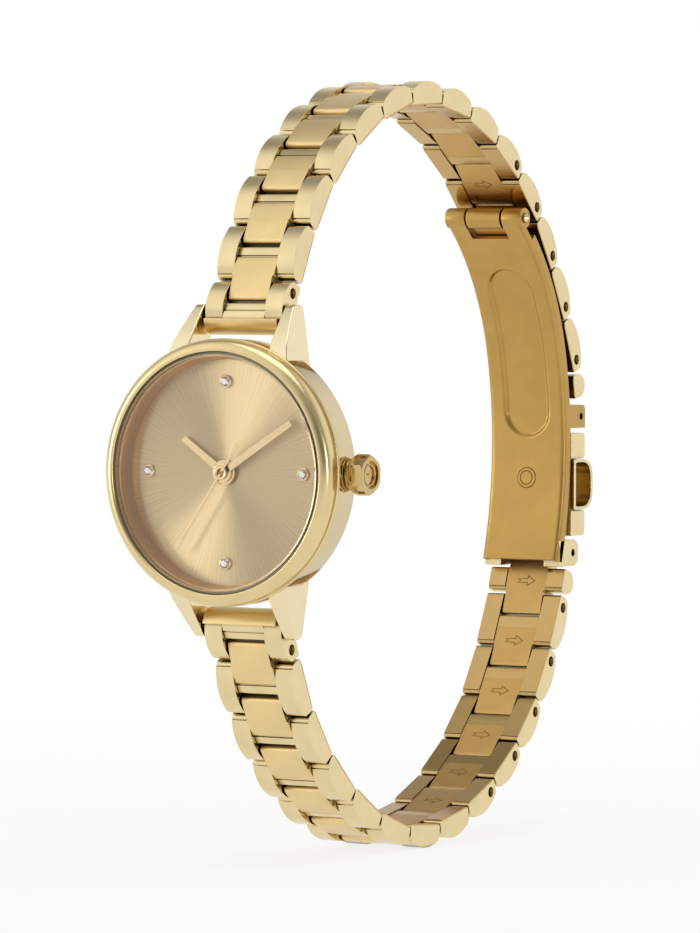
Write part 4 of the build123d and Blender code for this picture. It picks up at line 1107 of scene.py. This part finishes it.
def blade_skin():
    """The inner blade as one skin with the window left out, thickened later."""
    section = blade_section()
    long = BLADE_TOP - BLADE_FOOT
    turns = [BLADE_FOOT + long * i / BLADE_STEPS for i in range(BLADE_STEPS + 1)]
    hinge = on_blade(BLADE_TOP, HINGE_RISE)
    bm = bmesh.new()
    rings = []
    for turn in turns:
        z = on_blade(turn, 0)[1]
        ring = []
        for x, rise in section:
            deep = recess_depth(x, z) if rise == 0 else 0
            ring.append(bm.verts.new((x, *on_blade(turn, rise + deep))))
        rings.append(ring)
    for turn, after, low, high in zip(turns, turns[1:], rings, rings[1:]):
        from_hinge = dist(on_blade((turn + after) / 2, 0), hinge)
        in_window = from_hinge < WINDOW_REACH and turn > WINDOW_FROM
        for j, (here, there) in enumerate(zip(section, section[1:])):
            x, rise = (here[0] + there[0]) / 2, (here[1] + there[1]) / 2
            if in_window and abs(x) < WINDOW_HALF or turn >= FLANGE_TOP and rise > 0.5:
                continue
            bm.faces.new((low[j], low[j + 1], high[j + 1], high[j]))
    loose = [v for v in bm.verts if not v.link_faces]
    bmesh.ops.delete(bm, geom=loose, context="VERTS")
    return bm


def blade_mesh(name):
    mesh = mesh_of(name, blade_skin())
    raw = placed(name, mesh)
    thick = raw.modifiers.new("thick", "SOLIDIFY")
    thick.thickness = BLADE_T * MM
    thick.offset = -1.0 if mesh.polygons[len(mesh.polygons) // 2].normal.y < 0 else 1.0
    add_bevel(raw, BLADE_BEVEL, 2, 50)
    return applied(raw, name)


def rounded_outline(floor, far, z0, z1, radius):
    """Outline in Y and Z of a block that stands on a floor and has rounded far corners."""
    low = corner(far - radius, z0 + radius, radius, -90, 0)
    high = corner(far - radius, z1 - radius, radius, 0, 90)
    return [(floor, z0), *low, *high, (floor, z1)]


def ear_mesh(name, y, z, floor):
    """Ear with rounded outer corners and a bar hole."""
    outline = rounded_outline(floor, y + EAR_RISE, z - EAR_HALF, z + EAR_HALF, EAR_ROUND)
    hole = bore(EAR_BORE_R, EAR_BORE_LONG, EAR_BORE_LONG, (0, y, z), 32)
    return baked(name, prism(outline, EAR_INNER_X, BLADE_HALF), EAR_BEVEL, 3, 40, [hole])


def build_clasp():
    body = "clasp_inner"
    hinge = move(0, *on_blade(BLADE_TOP, HINGE_RISE))
    name = "inner_blade_skin"
    piece(name, blade_mesh(name), blade_brush, body, replaced=["inner_blade"])
    knuckle = mesh_of("blade_knuckle", about_x(KNUCKLE))
    pair("blade_knuckle", knuckle, blade_brush, body, hinge)
    bar = joint_place("lower_half_link_bend")
    top_turn = degrees(asin((bar.z + EAR_HALF - BLADE_FAR_Z) / BLADE_LOW_R))
    ear = ear_mesh("lower_ear", bar.y, bar.z, on_blade(top_turn, EAR_FOOT_RISE)[0])
    pair("lower_ear", ear, link_polish, body)
    pin = baked("blade_hinge_pin", about_x(HINGE_PIN, False, 48), 0.04, 2, 25)
    piece("blade_hinge_pin", pin, link_polish, body, hinge, ["clasp_hinge_pin"])
    turn = asin((STUD_Z - BLADE_FAR_Z) / BLADE_LOW_R)
    place = move(0, *on_blade(degrees(turn), 0)) @ Matrix.Rotation(turn, 4, "X")
    head = baked("snap_stud_head", lathe(STUD, False, 72), 0.012, 2, 25)
    piece("snap_stud_head", head, blade_brush, body, place, ["snap_stud"])
    # Painted shade: dark rings in the rivet head's groove and round its edge.
    for name, inner, outer, height in STUD_SHADE_RINGS:
        profile = [(inner, -0.05), (inner, height), (outer, height), (outer, -0.05)]
        piece(name, turned(name, profile, steps=72), engraving_and_shade, body, place)
    build_cover()
    build_tab()


COVER_LOW_Y = 51.9
FLOOR_LOW_Y = 51.15
FLOOR_HALF = 3.7
COVER_TOP_Y = 54.65
COVER_ROW = 2.5
COVER_ROUND = 0.35
COVER_STEP = 0.14
TAB_HALF = 4.45
TAB_FAR_Y = 55.7
TAB_FOOT_Y = COVER_LOW_Y + 0.5
TAB_STEPS = 24


def span(name):
    """Lowest and highest Z of a node in millimetres."""
    low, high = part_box(name)
    return low.z / MM, high.z / MM


def cover_row(name, z0, z1, replaced=()):
    """Three blocks across the clasp that look like a short link."""
    body = "clasp_outer"
    outline = rounded_outline(COVER_LOW_Y, COVER_TOP_Y, z0, z1, COVER_ROUND)
    side = baked(name + "_side", prism(outline, HALF_CENTRE, HALF_W), 0.08, angle=40)
    pair(name + "_side", side, link_polish, body)
    lower = [(y - COVER_STEP if y > COVER_LOW_Y else y, z) for y, z in outline]
    middle = baked(name + "_middle", prism(lower, -HALF_MIDDLE, HALF_MIDDLE), 0.05, angle=40)
    piece(name + "_middle", middle, brush, body, replaced=replaced)


def build_cover():
    z0, z1 = span("clasp_cover")
    cover_row("cover_top", z1 - COVER_ROW, z1, ["clasp_cover"])
    cover_row("cover_low", z0, z0 + COVER_ROW)
    low, high = FLOOR_LOW_Y, COVER_LOW_Y
    outline = [(low, z0), (high, z0), (high, z1), (low, z1)]
    slab = prism(outline, -FLOOR_HALF, FLOOR_HALF)
    mesh = baked("cover_floor", slab, 0.05, 2, 40)
    piece("cover_floor", mesh, blade_brush, "clasp_outer")


def build_tab():
    """Hollow D-shaped tab, open at both sides."""
    z0, z1 = span("pull_tab")
    middle, half = (z0 + z1) / 2, (z1 - z0) / 2
    outer = [(COVER_LOW_Y, z0 + 0.1)]
    for i in range(TAB_STEPS + 1):
        angle = radians(-90 + 180 * i / TAB_STEPS)
        flat = copysign(abs(sin(angle)) ** 0.62, sin(angle))
        rise = max(0.0, cos(angle)) ** 0.5
        outer.append((TAB_FOOT_Y + (TAB_FAR_Y - TAB_FOOT_Y) * rise, middle + half * flat))
    outer.append((COVER_LOW_Y, z1 - 0.1))
    centre = (COVER_LOW_Y + TAB_FAR_Y) / 2
    inner = [(centre + (y - centre) * 0.8, middle + (z - middle) * 0.87) for y, z in outer]
    rings = []
    for outline, side in ((outer, -1), (outer, 1), (inner, 1), (inner, -1)):
        rings.append([(side * TAB_HALF, y, z) for y, z in outline])
    mesh = baked("pull_tab_shell", loop_of(rings), 0.08, angle=40)
    piece("pull_tab_shell", mesh, link_polish, "clasp_outer", replaced=["pull_tab"])


# Pieces that keep their CAD shape and get their finish here

KEPT_NODES = {
    "crystal_gasket": crystal_seal,
    "case_back": case_polish,
    "case_back_gasket": rubber,
    "crown_tube": steel,
    "lug_spring_bars": polish,
    "movement_holder": holder_plastic,
    "movement_plate": nickel,
    "battery": cell,
    "drive_coil": copper,
    "setting_lever": steel,
    "clutch_pinion": steel,
    "winding_stem": steel,
    "outer_blade": blade_brush,
    "upper_clasp_bar": steel,
    "lower_clasp_bar": steel,
}


def finish_kept_nodes():
    for name, material in KEPT_NODES.items():
        node = frame["nodes"][name]
        node.data.materials.clear()
        node.data.materials.append(material)


# Camera, from the fit to the photograph

AZIMUTH = radians(31.08)
ELEVATION = radians(1.88)
ROLL = radians(0.20)
DISTANCE = 535.2
FOCAL_PX = 5745.4
PHOTO_W = 700
SENSOR_W = 36.0
CLIP_START = 0.01
TARGET = Vector((0.0, 16.66, -0.03))


def build_camera():
    flat = cos(ELEVATION)
    back = Vector((sin(AZIMUTH) * flat, -cos(AZIMUTH) * flat, sin(ELEVATION)))
    right = Vector((cos(AZIMUTH), sin(AZIMUTH), 0))
    turn = Matrix((right, back.cross(right), back)).transposed().to_4x4()
    data = bpy.data.cameras.new("camera")
    data.sensor_fit = "HORIZONTAL"
    data.sensor_width = SENSOR_W
    data.lens = FOCAL_PX / PHOTO_W * SENSOR_W
    data.clip_start = CLIP_START
    camera = placed("camera", data)
    at = Matrix.Translation((TARGET + back * DISTANCE) * MM)
    camera.matrix_world = at @ turn @ Matrix.Rotation(ROLL, 4, "Z")
    bpy.context.scene.camera = camera
    return back


# Floor, world and lamps, in metres

FLOOR_R = 3.0
FLOOR_STOPS = [(0.3, 0.95), (0.7, 0.97)]
GLOW_STOPS = [(0.06, 0.8), (0.22, 1.0)]

# Lobes of the studio: a direction, and the light by the cosine of the angle to it.
BASE_LOBE = ((0, 0, 1), [(0.3, 0.44), (0.95, 0.38)])
BRIGHT_LOBES = [
    ((0.62, 0.78, 0.1), [(0.45, 0.0), (0.9, 0.58)]),
    ((-0.9, -0.45, 0.2), [(0.5, 0.0), (0.95, 0.22)]),
    ((-0.5, -0.6, 0.62), [(0.7, 0.0), (0.97, 0.52)]),
    ((-0.72, 0.7, 0.1), [(0.7, 0.0), (0.95, 0.4)]),
]
DIM_LOBES = [
    ((0.95, -0.3, 0.0), [(0.8, 1.0), (0.98, 0.5)]),
    ((-0.45, 0.4, 0.8), [(0.7, 1.0), (0.96, 0.9)]),
]
FRONT_DIM = [(0.82, 1.0), (0.985, 0.3)]


def build_floor():
    """Pale floor that keeps the object's shadow near it and is plain white farther out."""
    bm = bmesh.new()
    bmesh.ops.create_circle(bm, cap_ends=True, segments=96, radius=FLOOR_R)
    mesh = bpy.data.meshes.new("floor")
    bm.to_mesh(mesh)
    bm.free()
    floor = placed("floor", mesh)
    floor.location = (0, 0, cad_box[0].z)
    paint = Paint("floor_white")
    paint.set(Roughness=0.9, Specular_IOR_Level=0.0)
    paint.feed(paint.ramp(paint.noise(3.0), FLOOR_STOPS), "Base Color")
    rays = paint.node("ShaderNodeLightPath").outputs
    seen = paint.calculated("MAXIMUM", rays["Is Camera Ray"], rays["Is Glossy Ray"])
    seen = paint.calculated("MAXIMUM", seen, rays["Is Transmission Ray"])
    far = paint.node("ShaderNodeVectorMath", paint.place, operation="LENGTH").outputs["Value"]
    shown = paint.calculated("MULTIPLY", seen, paint.ramp(far, GLOW_STOPS))
    paint.mixed(shown, paint.node("ShaderNodeEmission").outputs["Emission"])
    mesh.materials.append(paint.material)


def build_world(camera_side):
    """White behind the object. Metal and glass see a soft studio, dim in front."""
    world = bpy.data.worlds.new("studio")
    bpy.context.scene.world = world
    tree = Tree(world, "Generated")

    def lobe(direction, stops):
        dot = tree.node("ShaderNodeVectorMath", tree.place, operation="DOT_PRODUCT")
        dot.inputs[1].default_value = Vector(direction).normalized()
        return tree.ramp(dot.outputs["Value"], stops, "EASE")

    total = lobe(*BASE_LOBE)
    for bright in BRIGHT_LOBES:
        total = tree.combined("ADD", total, lobe(*bright))
    for dim in DIM_LOBES + [(camera_side, FRONT_DIM)]:
        total = tree.combined("MULTIPLY", total, lobe(*dim))
    mix = tree.node("ShaderNodeMix", data_type="RGBA")
    rays = tree.node("ShaderNodeLightPath").outputs
    tree.links.new(rays["Is Camera Ray"], mix.inputs["Factor"])
    tree.links.new(total, mix.inputs[6])
    mix.inputs[7].default_value = (1, 1, 1, 1)
    tree.links.new(mix.outputs[2], tree.nodes["Background"].inputs["Color"])


def lamp(name, place, aim, size, power):
    data = bpy.data.lights.new(name, "AREA")
    data.shape = "RECTANGLE"
    data.size, data.size_y = size
    data.energy = power
    made = placed(name, data)
    made.location = place
    made.rotation_euler = (Vector(aim) - Vector(place)).to_track_quat("-Z", "Y").to_euler()


def build_lamps():
    lamp("left_box", (-0.66, -0.44, 0.0), (0, 0, 0), (0.16, 0.34), 1.2)
    lamp("right_box", (0.7, -0.35, 0.03), (0, 0, 0), (0.16, 0.4), 1.0)
    lamp("top_box", (0.05, -0.05, 0.75), (0, 0.02, 0), (0.6, 0.6), 1.8)


build_case()
build_dial()
build_hands()
build_crown()
build_bracelet()
build_clasp()
finish_kept_nodes()
camera_side = build_camera()
build_floor()
build_world(camera_side)
build_lamps()
bpy.context.scene.view_settings.view_transform = "Standard"
